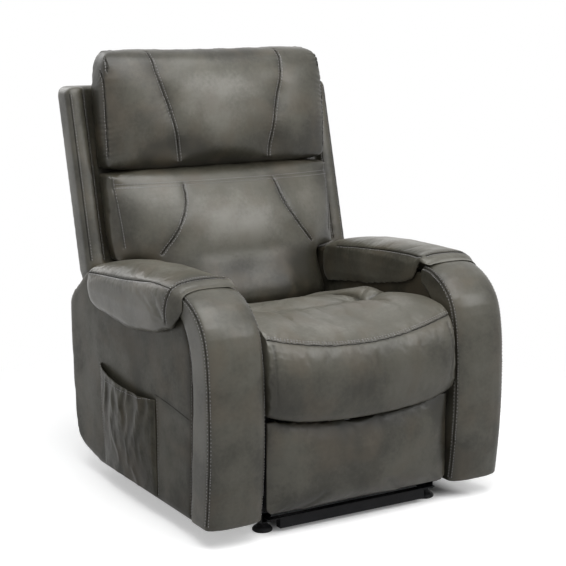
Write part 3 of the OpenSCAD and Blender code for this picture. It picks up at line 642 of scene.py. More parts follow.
PLAIN = {
    "thread": (thread, "Topstitch thread", None, 0.6),
    "seam shadow line": (thread, "Seam shadow", (0.008, 0.007, 0.006), 0.8),
    "black steel": (powder_coat, "Black powder coat", (0.007, 0.007, 0.008), 0.5, 0.35),
    "black plastic": (powder_coat, "Black moulded plastic", (0.012, 0.012, 0.013), 0.55, 0.5),
    "grey plastic": (powder_coat, "Grey moulded plastic", (0.07, 0.07, 0.073), 0.46, 0.4),
    "zinc steel": (plated, "Zinc plate", (0.56, 0.57, 0.58), 0.34, (1, 1, 6)),
    "bright rod": (plated, "Ground rod", (0.74, 0.74, 0.75), 0.16, (1, 8, 1)),
    "backing cloth": (powder_coat, "Black backing cloth", (0.008, 0.008, 0.009), 0.9, 0.9),
}
HIDES = {
    "seat": (0.3, 0.1, 2.0), "head": (4.1, 1.2, 0.4), "lumbar": (7.3, 0.6, 3.2), "left pillow": (2.2, 5.1, 1.0),
    "right pillow": (9.1, 3.3, 0.7), "left band": (1.5, 7.4, 5.2), "right band": (6.6, 8.2, 2.4),
    "left side": (3.6, 2.9, 8.8), "right side": (8.4, 4.4, 6.1), "back": (5.5, 9.7, 4.3),
    "footrest": (0.9, 6.2, 7.7), "pocket": (2.7, 1.9, 9.4),
}
DULL_HIDES = ("left side", "right side", "pocket")
FINISHED = {}


def finish(name):
    """A material of this file, built the first time it is asked for."""
    if name not in FINISHED:
        if name in PLAIN:
            maker, *values = PLAIN[name]
            FINISHED[name] = maker(*values)
        else:
            gloss = 0.12 if name in DULL_HIDES else 0.45
            FINISHED[name] = leather(f"Leather {name}", HIDES[name], gloss)
    return FINISHED[name]


def dress(obj, body, hide, *nodes, fill=None):
    """Gives a finished cover its leather and its body, and hides the solids it stands for."""
    obj.data.materials.clear()
    obj.data.materials.append(finish(hide))
    smooth_faces(obj)
    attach(obj, body)
    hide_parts(*nodes)
    return tree_of(obj.data)


def colour(name, description, default):
    return FloatVectorProperty(name=name, description=description, subtype="COLOR", default=default, min=0, max=1)


def amount(name, description, default, low, high):
    return FloatProperty(name=name, description=description, default=default, min=low, max=high)


class RECLINER_PG_looks(bpy.types.PropertyGroup):
    """Sizes and colours of the covers"""

    # The dark leather is painted shade in the seams and hollows, and also the colour of the pores.
    leather_dark: colour("Leather, dark", "Leather in the seams and hollows", (0.026, 0.024, 0.017))
    leather_mid: colour("Leather, middle", "Leather on the plain of a panel", (0.079, 0.075, 0.058))
    # Painted highlight: the pale leather of the crowns, where the light falls most.
    leather_highlight: colour("Leather, light", "Leather rubbed pale on the crowns", (0.166, 0.159, 0.135))
    leather_warm: colour("Leather, warm", "Brown drift in the leather", (0.094, 0.076, 0.052))
    thread_colour: colour("Thread", "Topstitching thread", (0.4, 0.39, 0.4))
    stitch_pitch: amount("Stitch pitch", "Distance from one stitch to the next, in mm", 6.2, 4, 14)
    stitch_half: amount("Stitch half length", "Half the length of a stitch, in mm", 2.0, 1, 6)
    pressure: amount("Air pressure", "How hard the covers are filled", 4.0, 0, 10)
    floor_grey: amount("Floor", "How pale the floor is", 0.86, 0.2, 1)
    shadow_lift: amount("Shadow lift", "How far the shadow on the floor is lifted", 0.42, 0, 1)


# The lines of the seams and creases are in mm, in the chair's own frame, for its left half or right across it.
SEAT_SEAM = [(-254, -403, 470), (-217, -410, 459.5), (-181, -416, 452.5), (-108, -423, 441), (-60, -425, 438.5),
    (0, -426, 437.5), (50, -425, 439), (107, -422, 444.5), (179, -415, 457), (254, -403, 473)]
SEAT_PLEAT = [(241, -428, 452), (244, -436, 410), (244, -434, 360), (241, -424, 318)]
BETWEEN_TUFTS = [(157, -165), (110, -190), (60, -205), (0, -213), (-60, -213), (-110, -195), (-157, -165)]
FROM_TUFT = (  # line, depth and width of each crease
    ([(157, -165), (183, -171), (215, -176), (262, -160)], 14, 12),
    ([(157, -165), (166, -112), (143, -32), (92, 22)], 15, 13),
    ([(157, -165), (182, -186), (206, -206)], 3.5, 7),
    ([(60, -212), (84, -262), (70, -312)], 2.6, 9),
    ([(20, -220), (34, -270), (16, -318)], 1.8, 9),
    ([(-26, -224), (-22, -268), (-40, -306)], 1.5, 8),
)
LUMBAR_ACROSS = [(-322, 230, 741), (-200, 170, 741), (0, 150, 741), (200, 170, 741), (322, 230, 741)]
LUMBAR_BOW = [(134, 173, 741), (136, 168, 728), (141, 148, 699), (153, 128, 668), (174, 116, 633), (195, 112, 605),
    (226, 112, 569)]
LUMBAR_BOX = [(321, 245, 770), (319, 240, 720), (314, 225, 650), (309, 215, 585)]
HEAD_BOW = [(190, 290, 1076), (188, 270, 1047), (181, 262, 1008), (163, 255, 949), (152, 250, 905), (142, 245, 860),
    (135, 240, 816), (134, 240, 798)]
HEAD_BOX = [(322, 300, 1078), (324, 275, 1050), (324, 265, 990), (324, 260, 900), (323, 258, 812)]
PILLOW_OUTER = [(421, 190, 536), (424, 100, 548), (424, -5, 557), (423, -110, 569), (421, -183, 580), (419, -262, 577)]
PILLOW_INNER = [(276, 120, 548), (277, 62, 556), (277, -60, 572), (277, -197, 584), (277, -262, 578)]
PILLOW_COLLAR = [(437, -258, 492), (437, -260, 530), (424, -262, 570), (395, -262, 586), (340, -262, 592),
    (290, -262, 586), (270, -262, 572)]
BAND_SEAM = [(-266, 563), (-306, 558), (-352, 535), (-386, 501), (-404, 456), (-414, 385), (-417, 300), (-416, 215),
    (-409, 125), (-401, 60)]
WELT = [(-266, 523), (-300, 504), (-324, 466), (-337, 420), (-341, 372), (-341, 300), (-337, 233), (-333, 150),
    (-330, 90), (-328, 60)]
WING = [(300, 972), (290, 860), (270, 700), (262, 600), (258, 556)]
SHELL_REAR = [(374, 470, 968), (374, 440, 840), (374, 400, 700), (374, 360, 560)]
SHELL_TOP = [(-374, 470, 960), (0, 470, 960), (374, 470, 960)]
PANEL_SEAM = [(-405, -146, 304), (-405, -230, 296), (-405, -326, 284)]
POCKET_HEM = [(-430, 154, 290), (-430, 120, 283), (-430, 60, 281), (-430, 0, 280), (-430, -70, 282),
    (-430, -120, 288), (-430, -143, 294)]
POCKET_EDGES = ([(-430, -157, 300), (-430, -158, 200), (-430, -160, 60)],
    [(-430, 166, 318), (-430, 160, 200), (-430, 146, 58)])


class RECLINER_OT_seat(bpy.types.Operator):
    """Seat cushion with its front seam, two tufts and the creases that run out of them"""

    bl_idname = "recliner.seat"
    bl_label = "Seat cushion"

    def execute(self, context):
        half, nose, proud = 0.262, -0.452, 0.0005
        drawn_in, side_rise, tuck_rise, tuft_depth = 0.007, 0.055, 0.006, 0.006
        down = (0, 0.75, -0.66)
        obj = even(cover_of("seat_cushion", "seat_cover"), voxel=0.006, rounding=4)
        co, n = shape(obj)
        co = co - n * (drawn_in * ramp(co[:, 2], 0.27, 0.12))[:, None]
        x, y, z = co.T
        # The sides rise next to the arms, and the lower edge tucks up in the middle.
        rise = (np.abs(x) / 0.254) ** 1.7 * ease(y, -0.44, -0.28) * (1 - ease(y, -0.08, 0.03))
        tuck = (1 - (np.abs(x) / half) ** 2) * ease(-y, 0.36, 0.41) * (1 - ease(z, 0.28, 0.35))
        z += side_rise * rise * ease(z, 0.36, 0.44) + tuck_rise * tuck
        move_to(obj, co)
        seam = laid(obj, [SEAT_SEAM], down)[0]

        def held(p):
            far, _ = from_seams(p, [seam])
            tufts = (np.hypot(np.abs(p[:, 0]) - 0.15, p[:, 1] + 0.17) < 0.012) & (p[:, 2] > 0.4)
            under = (facing(obj)[:, 2] < -0.3) & (p[:, 2] < 0.36)
            return (far < SEAM_GRIP) | (p[:, 2] < 0.303) | under | tufts | (p[:, 1] > 0.07)

        stuff(obj, held, swell=0.018)
        co = places(obj)
        co[:, 0] = np.clip(co[:, 0], -half, half)
        move_to(obj, co)
        finer(obj)
        co, n = shape(obj)
        x, y, _ = co.T
        on_top = n[:, 2] > 0.2
        sink = crease(co, n, BETWEEN_TUFTS, depth=17, width=13, taper=False)
        for side in (1, -1):
            for line, depth, width in FROM_TUFT:
                sink = np.maximum(sink, crease(co, n, to_side(line, side), depth, width))
        # Painted shade: the leather is darkened in the creases, where the fold lies in shade.
        crease_shade = 1 - 0.9 * np.clip(sink / 0.009, 0, 1) ** 1.5  # the leather is darker in the creases
        puff = 0.012 * hill(x, 0.12) * hill(y + 0.12, 0.055) + 0.007 * hill(x, 0.2, 4) * hill(y + 0.27, 0.045)
        for side in (1, -1):
            sink += on_top * tuft_depth * hill(np.hypot(x - side * 0.157, y + 0.165), 0.022)
            puff += 0.015 * hill(x - side * 0.205, 0.07) * hill(y - 0.025, 0.05)
        move_to(obj, co + n * (puff * on_top - sink)[:, None])
        seam = laid(obj, [SEAT_SEAM], down)[0]
        # Painted shade: the lower front of the seat is darker than its top, and darker still in the creases.
        tailor(obj, [seam] + laid(obj, both(SEAT_PLEAT)), width=2.2, dip=0.9, pucker=0.35, wave=15, fade=24, sway=0.7,
            dark=0.45, painted_light=lambda p: (0.45 + 0.55 * ease(p[:, 2], 0.41, 0.46)) * crease_shade, seed=2)
        co = places(obj)
        co[:, 0] = np.clip(co[:, 0], -half - proud, half + proud)
        co[:, 1] = np.maximum(co[:, 1], nose)
        move_to(obj, co)
        tree = dress(obj, "chassis", "seat", "seat_cushion", fill=0.75)
        topstitch("seat", "chassis", single(tree, seam, 5.0) + single(tree, seam, 9.5))
        seam_shadow("seat", "chassis", tree, [seam])
        return {"FINISHED"}


def crown(obj, co, n, middle, reach, out):
    """Rounds the face of a back cushion forward round a height."""
    across = 1 - np.clip(np.abs(co[:, 0]) / 0.33, 0, 1) ** 4
    co[:, 1] -= out * (across * hill(co[:, 2] - middle, reach, 4)) * (n[:, 1] < 0.1)
    move_to(obj, co)


class RECLINER_OT_lumbar(bpy.types.Operator):
    """Lumbar cushion with a seam across its top, two bowed seams and boxed sides"""

    bl_idname = "recliner.lumbar"
    bl_label = "Lumbar cushion"

    def execute(self, context):
        lines = [LUMBAR_ACROSS] + both(LUMBAR_BOW) + both(LUMBAR_BOX)
        obj = even(cover_of("lumbar_cushion", "lumbar_cover"), voxel=0.006, rounding=4)
        co, n = shape(obj)
        drawn_in = 0.006 * np.maximum(ramp(co[:, 2], 0.5, 0.09), 0.15)
        co = co - n * (drawn_in * (n[:, 1] < 0.6))[:, None]
        crown(obj, co, n, middle=0.65, reach=0.09, out=0.018)
        seams = laid(obj, lines)

        def held(p):
            far, _ = from_seams(p, seams)
            return (far < SEAM_GRIP) | (p[:, 2] < 0.41) | (facing(obj)[:, 1] > 0.7)

        def proud(p):
            z = p[:, 2]
            return 0.024 * ease(z, 0.54, 0.62) * (1 - ease(z, 0.72, 0.8)) + 0.002 * ease(z, 0.5, 0.6)

        stuff(obj, held, swell=0.013)
        keep_inside(obj, "lumbar_cushion", proud)
        finer(obj)
        seams = laid(obj, lines)
        soften(obj, lambda p, m: (m[:, 1] < -0.3) * ramp(from_seams(p, seams[1:])[0], 0.006, 0.02), rounds=260)
        seams = laid(obj, lines)
        # Painted highlight on the lumbar's crown, with painted shade towards its top, bottom and sides.
        tailor(obj, seams[1:], light=seams[:1], width=2.3, dip=1.3, pucker=0.25, wave=15, seed=4,
            painted_light=lambda p: 0.1 + 0.9 * hill(p[:, 2] - 0.665, 0.1, 4) * hill(p[:, 0], 0.3, 6))
        tree = dress(obj, "back", "lumbar", "lumbar_cushion", fill=0.7)
        rows = [row for s in seams[:3] for row in double(tree, s)]
        topstitch("lumbar", "back", rows + single(tree, seams[3], -4.5) + single(tree, seams[4], 4.5))
        seam_shadow("lumbar", "back", tree, seams[1:3])
        return {"FINISHED"}


class RECLINER_OT_head(bpy.types.Operator):
    """Head pillow with two bowed seams, boxed sides and gathered corners"""

    bl_idname = "recliner.head"
    bl_label = "Head pillow"

    def execute(self, context):
        lines = both(HEAD_BOW) + both(HEAD_BOX)
        obj = even(cover_of("head_cushion", "head_cover"), voxel=0.006, rounding=4)
        co, n = shape(obj)
        drawn_in = 0.006
        co = co - n * drawn_in * (n[:, 1] < 0.6)[:, None]
        crown(obj, co, n, middle=0.93, reach=0.095, out=0.02)
        seams = laid(obj, lines)

        def held(p):
            far, _ = from_seams(p, seams)
            return (far < SEAM_GRIP) | (facing(obj)[:, 1] > 0.8)

        stuff(obj, held, swell=0.017)
        keep_inside(obj, "head_cushion", lambda p: 0.005 + 0.021 * hill(p[:, 2] - 0.93, 0.1, 4))
        finer(obj)
        seams = laid(obj, lines)
        soften(obj, lambda p, m: (m[:, 1] < 0.2) * ramp(from_seams(p, seams)[0], 0.006, 0.02), rounds=150)
        seams = laid(obj, lines)
        gathers = 0.3 + 1.1 * ramp(np.abs(places(obj)[:, 0]), 0.27, 0.03)
        # Painted highlight on the head's crown, with painted shade towards its top, bottom and ends.
        tailor(obj, seams, width=2.3, dip=1.5, reach=15, pucker=gathers, wave=14, fade=20, sway=0.9, seed=7,
            painted_light=lambda p: 0.12 + 0.88 * hill(p[:, 2] - 0.945, 0.095, 4) * hill(p[:, 0], 0.24, 4))
        tree = dress(obj, "back", "head", "head_cushion", fill=0.8)
        rows = [row for s in seams[:2] for row in double(tree, s)]
        topstitch("head", "back", rows + single(tree, seams[2], 4.5) + single(tree, seams[3], -4.5))
        seam_shadow("head", "back", tree, seams)
        return {"FINISHED"}


ARMS = ((1, "left"), (-1, "right"))


class RECLINER_OT_pillows(bpy.types.Operator):
    """Arm pillows with flaps, seams along both top edges and a collar at the front"""

    bl_idname = "recliner.pillows"
    bl_label = "Arm pillows"

    def execute(self, context):
        drape, drape_length, rest = -0.255, 0.044, 0.0015
        for side, arm in ARMS:
            node = f"arm_pillow_{arm}"
            obj = even(cover_of(node, f"pillow_{arm}"), voxel=0.005, rounding=3)
            band, panel = solid_tree(f"arm_band_{arm}"), solid_tree(f"arm_panel_{arm}")
            co = places(obj)
            # The flap in front hangs down to the band, and rests just off it.
            for i in np.nonzero(co[:, 1] < drape)[0]:
                t = min(1.0, (drape - co[i][1]) / drape_length)
                near, _, _, gap = band.find_nearest(Vector(co[i]))
                if gap > rest:
                    wanted = rest + 0.32 * max(0.0, gap - 0.009)
                    co[i] += (np.array(near) - co[i]) / gap * max(0.0, gap - wanted) * (t * t * (3 - 2 * t))
            move_to(obj, co)
            outer, inner, collar = (to_side(p, side) for p in (PILLOW_OUTER, PILLOW_INNER, PILLOW_COLLAR))

            def lay():
                tree = tree_of(obj.data)
                return [drawn(tree, outer, (-side * 0.8, 0, -0.6)), drawn(tree, inner, (side * 0.6, 0, -0.8)),
                    pinned(tree, collar)]

            def held(p):
                far, _ = from_seams(p, seams)
                near = np.array([min(panel.find_nearest(Vector(q))[3], band.find_nearest(Vector(q))[3]) for q in p])
                return (far < 0.9 * SEAM_GRIP) | (near < 0.0035) | (p[:, 1] < -0.296)

            seams = lay()
            stuff(obj, held, swell=0.007, share=0.8)
            keep_inside(obj, node, lambda p: np.where(np.abs(p[:, 0]) < 0.275, 0.0, 0.004))
            finer(obj)
            soften(obj, lambda p, m: (side * p[:, 0] > 0.4) * (1 - ease(p[:, 2], 0.47, 0.51)), rounds=40)
            seams = lay()
            # Painted shade on the pillow's sides, below its top, which is painted paler.
            tailor(obj, seams, depth=1.6, dip=1.0, reach=10, wave=14, sway=0.7, seed=11 + side,
                painted_light=lambda p: 0.65 + 0.35 * ease(p[:, 2], 0.55, 0.585))
            tree = dress(obj, "chassis", f"{arm} pillow", node, fill=0.6)
            rows = double(tree, seams[2], gap=5.5) + single(tree, seams[0], side * 4.5)
            topstitch(f"pillow_{arm}", "chassis", rows + single(tree, seams[1], -side * 4.5))
            seam_shadow(f"pillow_{arm}", "chassis", tree, seams)
        return {"FINISHED"}


class RECLINER_OT_bands(bpy.types.Operator):
    """Crowned front bands of the arms, with a double row of stitches along each edge"""

    bl_idname = "recliner.bands"
    bl_label = "Front bands"

    def execute(self, context):
        outer_edge, inner_edge, welt_face = 408, 265, 409
        for side, arm in ARMS:
            node = f"arm_band_{arm}"
            obj = even(cover_of(node, f"band_{arm}"), voxel=0.0055, rounding=3)
            finer(obj)
            tree = tree_of(obj.data)
            seams = [pinned(tree, [(side * x, y, z) for y, z in BAND_SEAM]) for x in (outer_edge, inner_edge)]
            # Painted shade: the whole front of the band is set to a flat, darker level.
            tailor(obj, seams, depth=1.3, width=2.6, dip=0.9, reach=8, pucker=0.25, wave=13, fade=12,
                painted_light=lambda p: 0.55, seed=15 + side)
            keep_inside(obj, node, lambda p: np.where(np.abs(p[:, 0]) < 0.27, 0.0, 0.004))
            tree = dress(obj, "chassis", f"{arm} band", node, fill=0.85)
            edge = drawn(tree, [(side * welt_face, y - 7, z) for y, z in WELT[1:]], (-side, 0, 0))
            rows = double(tree, seams[0]) + double(tree, seams[1])
            topstitch(f"band_{arm}", "chassis", rows + single(tree, edge, 0.0))
            seam_shadow(f"band_{arm}", "chassis", tree, seams)
        return {"FINISHED"}


class RECLINER_OT_sides(bpy.types.Operator):
    """Leather-covered arm sides, with a stitched row along the front welt"""

    bl_idname = "recliner.sides"
    bl_label = "Arm sides"

    def execute(self, context):
        welt_face = 405
        for side, arm in ARMS:
            node = f"arm_panel_{arm}"
            obj = even(cover_of(node, f"side_{arm}"), voxel=0.008, rounding=3)
            co, n = shape(obj)
            middle = hill(co[:, 1] - 0.03, 0.24) * hill(co[:, 2] - 0.28, 0.2)  # where the leather lies loosest
            loose = 2.2 * middle + 1.5 * ripple(co, 0.16, 21 + side) + 0.6 * ripple(co, 0.06, 25)
            rear = (n[:, 1] > 0.5) * (1.5 * ripple(co, 0.12, 31))
            move_to(obj, co + n * (((side * n[:, 0] > 0.7) * loose + rear) * MM)[:, None])
            tree = tree_of(obj.data)
            edge = drawn(tree, [(side * welt_face, y + 9, z) for y, z in WELT], (-side, 0, 0))
            seams = [edge]
            if arm == "right":
                seams.append(drawn(tree, PANEL_SEAM, (1, 0, 0)))
            co = places(obj)
            x, y, z = co.T
            far, _ = from_seams(co, seams)
            # Painted shade along the welt.
            note(obj, "seam", 0.6 * hill(far, 0.006))
            rim = np.minimum.reduce([y - y.min(), z - z.min(), y.max() - y])  # how far inside the outline
            # Painted shade: darker towards the outline and the welt, and darker on the inner side that faces the seat.
            painted_shading = 0.13 + 0.4 * (1 - np.exp(-rim / 0.06)) - 0.2 * np.exp(-far / 0.03)
            note(obj, "painted_shading", np.clip(painted_shading, 0, 1) * (0.35 + 0.65 * ramp(side * x, 0.28, 0.02)))
            dress(obj, "chassis", f"{arm} side", node)
            topstitch(f"side_{arm}", "chassis", single(tree, edge, 0.0))
            if arm == "right":
                # Painted shadow: a dark line along the panel seam of the right side.
                sew("side_right_seam", "chassis", [(tree, seams[1], 0.0, 3.2, 2.6, 0.5)], "seam shadow line")
        return {"FINISHED"}


class RECLINER_OT_back(bpy.types.Operator):
    """Leather-covered back shell with wings"""

    bl_idname = "recliner.back"
    bl_label = "Back shell"

    def execute(self, context):
        wing_face, wing_edge, skin, groove = 383, 349, 1.2, 0.0012
        obj = even(cover_of("back_shell", "back_cover"), voxel=0.0075, rounding=3)
        co, n = shape(obj)
        loose = 0.9 * ripple(co, 0.15, 41) + 0.4 * ripple(co, 0.05, 42)
        move_to(obj, co + n * (skin * MM + loose * MM * (n[:, 1] > 0.4))[:, None])
        wings = [line for x in (wing_face, wing_edge) for line in both([(x, y, z) for y, z in WING])]
        seams = laid(obj, wings) + laid(obj, both(SHELL_REAR) + [SHELL_TOP], FORWARD)
        co, n = shape(obj)
        far, _ = from_seams(co, seams)
        # Painted shade along the seams.
        note(obj, "seam", 0.8 * hill(far, 0.005))
        # Painted shade in the recess inside the wings, and darker towards the seams.
        recess_shade = ramp(-np.abs(co[:, 0]), -0.352, 0.012) * (n[:, 1] < 0.3)
        note(obj, "painted_shading", np.clip(0.2 + 0.55 * (1 - np.exp(-far / 0.05)), 0, 1) * (1 - 0.6 * recess_shade))
        move_to(obj, co - n * (groove * hill(far, 0.006))[:, None])
        tree = dress(obj, "back", "back", "back_shell")
        topstitch("back", "back", [r for k, s in enumerate(seams) for r in single(tree, s, 4.0 if k % 2 else -4.0)])
        seam_shadow("back", "back", tree, seams)
        return {"FINISHED"}


class RECLINER_OT_pocket(bpy.types.Operator):
    """Gathered side pocket with a stitched hem"""

    bl_idname = "recliner.pocket"
    bl_label = "Side pocket"

    def execute(self, context):
        rear, length, hem, height = 0.16, 0.31, 0.3, 0.24
        inward = (1, 0, 0)
        obj = cover_of("side_pocket", "pocket_cover")
        bm = bmesh.new()
        bm.from_mesh(obj.data)
        bmesh.ops.subdivide_edges(bm, edges=bm.edges, cuts=3, use_grid_fill=True)
        bm.to_mesh(obj.data)
        bm.free()
        co, n = shape(obj)
        _, y, z = co.T
        run, drop = ramp(-y, -rear, length), ramp(-z, -hem, height)
        # Wide and small folds lean with the mouth, and are gathered below the hem.
        lean = y + 0.30 * (z - hem) * (0.35 + 0.65 * (1 - run))
        wide = 1 - 2 * np.abs(np.sin(lean / 0.031 + 2.6 * ripple(co, 0.08, 51))) ** 0.8
        small = 1 - 2 * np.abs(np.sin(lean / 0.0135 + 2.1 * ripple(co, 0.05, 52)))
        folds = wide * (0.45 + 0.45 * ripple(co, 0.07, 53)) + small * 0.3
        calm = np.sin(math.pi * run) ** 0.5
        gather = 7.0 * np.exp(-drop / 0.6) * calm * (1 - np.exp(-drop / 0.05)) + 1.2 * calm * np.exp(-drop / 0.12)
        co[:, 0] -= np.where(n[:, 0] < 0.2, folds * gather, folds * gather * 0.8) * MM
        move_to(obj, co)
        finer(obj)
        deep = hollow(obj, rounds=6)
        # Painted shade in the hollows of the folds and painted highlight on their crests; darker towards the top.
        shade = 0.13 - 560 * np.clip(deep, -0.001, 0.001) - 0.15 * ramp(places(obj)[:, 2], 0.27, 0.03)
        note(obj, "painted_shading", np.clip(shade, 0, 1))
        # Painted shade: the seam value darkens the fold hollows.
        note(obj, "seam", 0.35 * np.clip(deep / 0.0006, 0, 1))
        tree = dress(obj, "chassis", "pocket", "side_pocket")
        rows = single(tree, drawn(tree, POCKET_HEM, inward), 0.0)
        panel = tree_of(bpy.data.objects["side_right"].data)
        for line in POCKET_EDGES:
            rows += single(panel, drawn(panel, line, inward), 0.0)
        topstitch("pocket", "chassis", rows)
        return {"FINISHED"}


class RECLINER_OT_footrest(bpy.types.Operator):
    """Footrest pad"""

    bl_idname = "recliner.footrest"
    bl_label = "Footrest"

    def execute(self, context):
        half, foot, top, top_rise = 0.256, 0.05, 0.245, 0.04
        drawn_in, edge_rise = 0.004, 0.009
        obj = even(cover_of("footrest_pad", "footrest_cover"), voxel=0.0055, rounding=8)
        co, n = shape(obj)
        move_to(obj, co - n * drawn_in * (n[:, 1] < 0.3)[:, None])
        stuff(obj, lambda p: p[:, 1] > -0.399, swell=0.009)
        keep_inside(obj, "footrest_pad", lambda p: np.where(p[:, 1] > -0.41, 0.0, 0.003))
        finer(obj)
        co, n = shape(obj)
        x, _, z = co.T
        # How far inside the panel's outline, whose top edge is higher at its ends.
        rim = np.minimum.reduce([half - np.abs(x), z - foot, (top + top_rise * (x / half) ** 2) - z])
        rim = np.clip(rim, 0, 1)
        z += edge_rise * (1 - (x / 0.262) ** 2) * ease(z, 0.18, 0.25)
        pull = 0.9 * ripple(co, 0.11, 61) + 0.35 * ripple(co, 0.035, 62) * np.exp(-rim / 0.05)
        move_to(obj, co + n * (pull * MM * (n[:, 1] < 0.2))[:, None])
        # Painted shade towards the outline and in the hollows.
        painted_shading = 0.1 + 0.38 * (1 - np.exp(-rim / 0.06)) - 150 * np.clip(hollow(obj, rounds=8), -0.0005, 0.003)
        note(obj, "painted_shading", np.clip(painted_shading, 0, 1))
        note(obj, "seam", np.zeros(len(co)))
        dress(obj, "footrest", "footrest", "footrest_pad", fill=0.7)
        return {"FINISHED"}


class RECLINER_OT_apron(bpy.types.Operator):
    """Rear apron between the arms"""

    bl_idname = "recliner.apron"
    bl_label = "Rear apron"

    def execute(self, context):
        obj = even(cover_of("rear_apron", "apron_cover"), voxel=0.004, rounding=2)
        co, n = shape(obj)
        move_to(obj, co + n * (0.7 * MM * ripple(co, 0.12, 71))[:, None])
        z = co[:, 2]
        rim = np.minimum(z - z.min(), z.max() - z)
        # Painted shade: darker towards the top and bottom edges.
        note(obj, "painted_shading", 0.3 + 0.6 * (1 - np.exp(-rim / 0.03)))
        note(obj, "seam", np.zeros(len(co)))
        tree = dress(obj, "chassis", "back", "rear_apron")
        hems = [[(x, 330, height) for x in (-262, 0, 262)] for height in (102, 245)]
        topstitch("apron", "chassis", [row for hem in hems for row in single(tree, drawn(tree, hem, FORWARD), 0.0)])
        return {"FINISHED"}


METAL = {
    "black steel": ["base_side_rails", "base_front_rail", "base_cross_tubes", "riser_plates", "lift_motor_bracket",
        "lift_torque_tube", "carrier_plates", "seat_side_tubes", "seat_cross_tubes", "recline_bracket",
        "back_hinge_brackets", "back_torque_tube", "footrest_torque_tube", "seat_springs", "footrest_brackets"],
    "zinc steel": ["lower_lift_links", "upper_lift_links", "footrest_drive_links", "footrest_long_links",
        "footrest_cross_links", "footrest_front_links"],
    "black plastic": ["levelling_feet", "control_box"],
    "grey plastic": ["lift_motor", "recline_motor", "footrest_motor"],
    "bright rod": ["lift_rod", "recline_rod"],
    "backing cloth": ["footrest_board"],
}


class RECLINER_OT_metalwork(bpy.types.Operator):
    """Finishes of the frame, the links, the motors, the feet and the footrest's board"""

    bl_idname = "recliner.metalwork"
    bl_label = "Metalwork"

    def execute(self, context):
        for name, nodes in METAL.items():
            for node in nodes:
                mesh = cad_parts[node].data
                mesh.materials.clear()
                mesh.materials.append(finish(name))
        return {"FINISHED"}


def mixed(tree, factor, a, b):
    """Two shaders mixed by a factor."""
    node = tree.nodes.new("ShaderNodeMixShader")
    for socket, value in zip(node.inputs, (factor, a, b)):
        tree.links.new(value, socket)
    return node.outputs["Shader"]


def pale_floor(looks):
    """A floor that keeps the chair's shadow, lifted outside its footprint, and turns to plain white farther out."""
    mat, tree, shader = material("Pale floor", 0.9)
    path = tree.nodes.new("ShaderNodeLightPath").outputs
    grey = blend_colour(tree, path["Is Camera Ray"], (0.4, 0.4, 0.4), (looks.floor_grey,) * 3)
    feed(tree, shader.inputs["Base Color"], grey)
    where = tree.nodes.new("ShaderNodeTexCoord").outputs["Object"]
    reach = tree.nodes.new("ShaderNodeVectorMath")
    reach.operation = "LENGTH"
    tree.links.new(where, reach.inputs[0])
    far_out = ranged(tree, reach.outputs["Value"], 0.7, 1.4)
    seen = maths(tree, "MAXIMUM", path["Is Camera Ray"], path["Is Glossy Ray"])
    apart = tree.nodes.new("ShaderNodeSeparateXYZ")
    tree.links.new(where, apart.inputs[0])
    centre_x, half_x, half_y = 0.05, 0.31, 0.42
    wide = maths(tree, "ABSOLUTE", maths(tree, "SUBTRACT", apart.outputs["X"], centre_x))
    wide = maths(tree, "DIVIDE", wide, half_x)
    deep = maths(tree, "DIVIDE", maths(tree, "ABSOLUTE", apart.outputs["Y"]), half_y)
    beyond = ranged(tree, maths(tree, "MAXIMUM", wide, deep), 0.75, 1.0)
    paler = new(tree, "Emission", Strength=times(tree, times(tree, seen, beyond), looks.shadow_lift))
    near = tree.nodes.new("ShaderNodeAddShader")
    tree.links.new(shader.outputs["BSDF"], near.inputs[0])
    tree.links.new(paler.outputs["Emission"], near.inputs[1])
    white = new(tree, "Emission", Color=(1, 1, 1))
    surface = mixed(tree, times(tree, far_out, seen), near.outputs["Shader"], white.outputs["Emission"])
    tree.links.new(surface, tree.nodes["Material Output"].inputs["Surface"])
    return mat


def studio_air():
    """Weak pale air that lights the chair, seen as plain white by the camera, in gloss and through glass."""
    world = bpy.data.worlds.new("Studio")
    world.use_nodes = True
    tree = world.node_tree
    tree.nodes.clear()
    path = tree.nodes.new("ShaderNodeLightPath").outputs
    seen = maths(tree, "MAXIMUM", path["Is Camera Ray"], path["Is Glossy Ray"])
    seen = maths(tree, "MAXIMUM", seen, path["Is Transmission Ray"])
    air = new(tree, "Background", Color=(0.97, 0.985, 1), Strength=0.22)
    white = new(tree, "Background", Color=(1, 1, 1))
    out = tree.nodes.new("ShaderNodeOutputWorld")
    tree.links.new(mixed(tree, seen, air.outputs["Background"], white.outputs["Background"]), out.inputs["Surface"])
    return world


FLOOR_HALF = 9.0
LENS = 93.38
EYE, AIM = (-1.8453, -3.1444, 1.2154), (0.0, -0.04968, 0.51138)
LAMPS = (  # name, place, target, size, watts
    ("key lamp", (-0.3, -1.1, 3.3), (0.0, 0.0, 0.6), 3.2, 122.0),
    ("left lamp", (-3.0, -0.8, 1.5), (0.0, 0.0, 0.4), 1.6, 2.4),
    ("right lamp", (1.8, -2.5, 2.4), (0.0, 0.0, 0.7), 1.2, 24.0),
    ("rear lamp", (-0.6, 3.0, 2.4), (0.0, 0.2, 0.6), 1.8, 22.0),
)


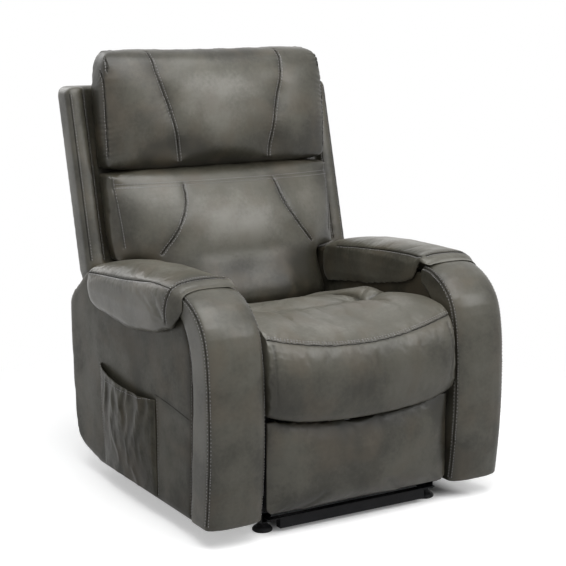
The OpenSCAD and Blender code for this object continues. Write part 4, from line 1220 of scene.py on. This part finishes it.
def aimed(name, data, place, target):
    """A lamp or a camera at a place, turned to its target."""
    obj = bpy.data.objects.new(name, data)
    bpy.context.scene.collection.objects.link(obj)
    obj.location = place
    obj.rotation_euler = (Vector(target) - Vector(place)).to_track_quat("-Z", "Y").to_euler()
    return obj


class RECLINER_OT_stage(bpy.types.Operator):
    """Pale floor, soft lamps and the camera"""

    bl_idname = "recliner.stage"
    bl_label = "Stage"

    def execute(self, context):
        scene = context.scene
        bm = bmesh.new()
        bmesh.ops.create_grid(bm, x_segments=2, y_segments=2, size=FLOOR_HALF)
        floor = built("floor", bm)
        floor.data.materials.append(pale_floor(scene.recliner))
        scene.world = studio_air()
        for name, place, target, size, watts in LAMPS:
            lamp = bpy.data.lights.new(name, "AREA")
            lamp.size = size
            lamp.energy = watts
            aimed(name, lamp, place, target)
        camera = bpy.data.cameras.new("camera")
        camera.sensor_width = 36
        camera.lens = LENS
        camera.clip_end = 60
        scene.camera = aimed("camera", camera, EYE, AIM)
        scene.view_settings.view_transform = "Standard"
        return {"FINISHED"}


STEPS = (RECLINER_OT_seat, RECLINER_OT_lumbar, RECLINER_OT_head, RECLINER_OT_pillows, RECLINER_OT_bands,
    RECLINER_OT_sides, RECLINER_OT_back, RECLINER_OT_pocket, RECLINER_OT_footrest, RECLINER_OT_apron,
    RECLINER_OT_metalwork, RECLINER_OT_stage)


class RECLINER_PT_panel(bpy.types.Panel):
    """Lists the looks and the steps"""

    bl_idname = "RECLINER_PT_panel"
    bl_label = "Recliner"
    bl_space_type = "VIEW_3D"
    bl_region_type = "UI"
    bl_category = "Recliner"

    def draw(self, context):
        looks = context.scene.recliner
        for name in looks.bl_rna.properties.keys():
            if name not in ("rna_type", "name"):
                self.layout.prop(looks, name)
        for step in STEPS:
            self.layout.operator(step.bl_idname)


CLASSES = (RECLINER_PG_looks, *STEPS, RECLINER_PT_panel)


def register():
    for c in CLASSES:
        bpy.utils.register_class(c)
    bpy.types.Scene.recliner = PointerProperty(type=RECLINER_PG_looks)


def unregister():
    del bpy.types.Scene.recliner
    for c in reversed(CLASSES):
        bpy.utils.unregister_class(c)


def main():
    register()
    for step in STEPS:
        getattr(bpy.ops.recliner, step.bl_idname.split(".")[1])()


if __name__ == "__main__":
    main()
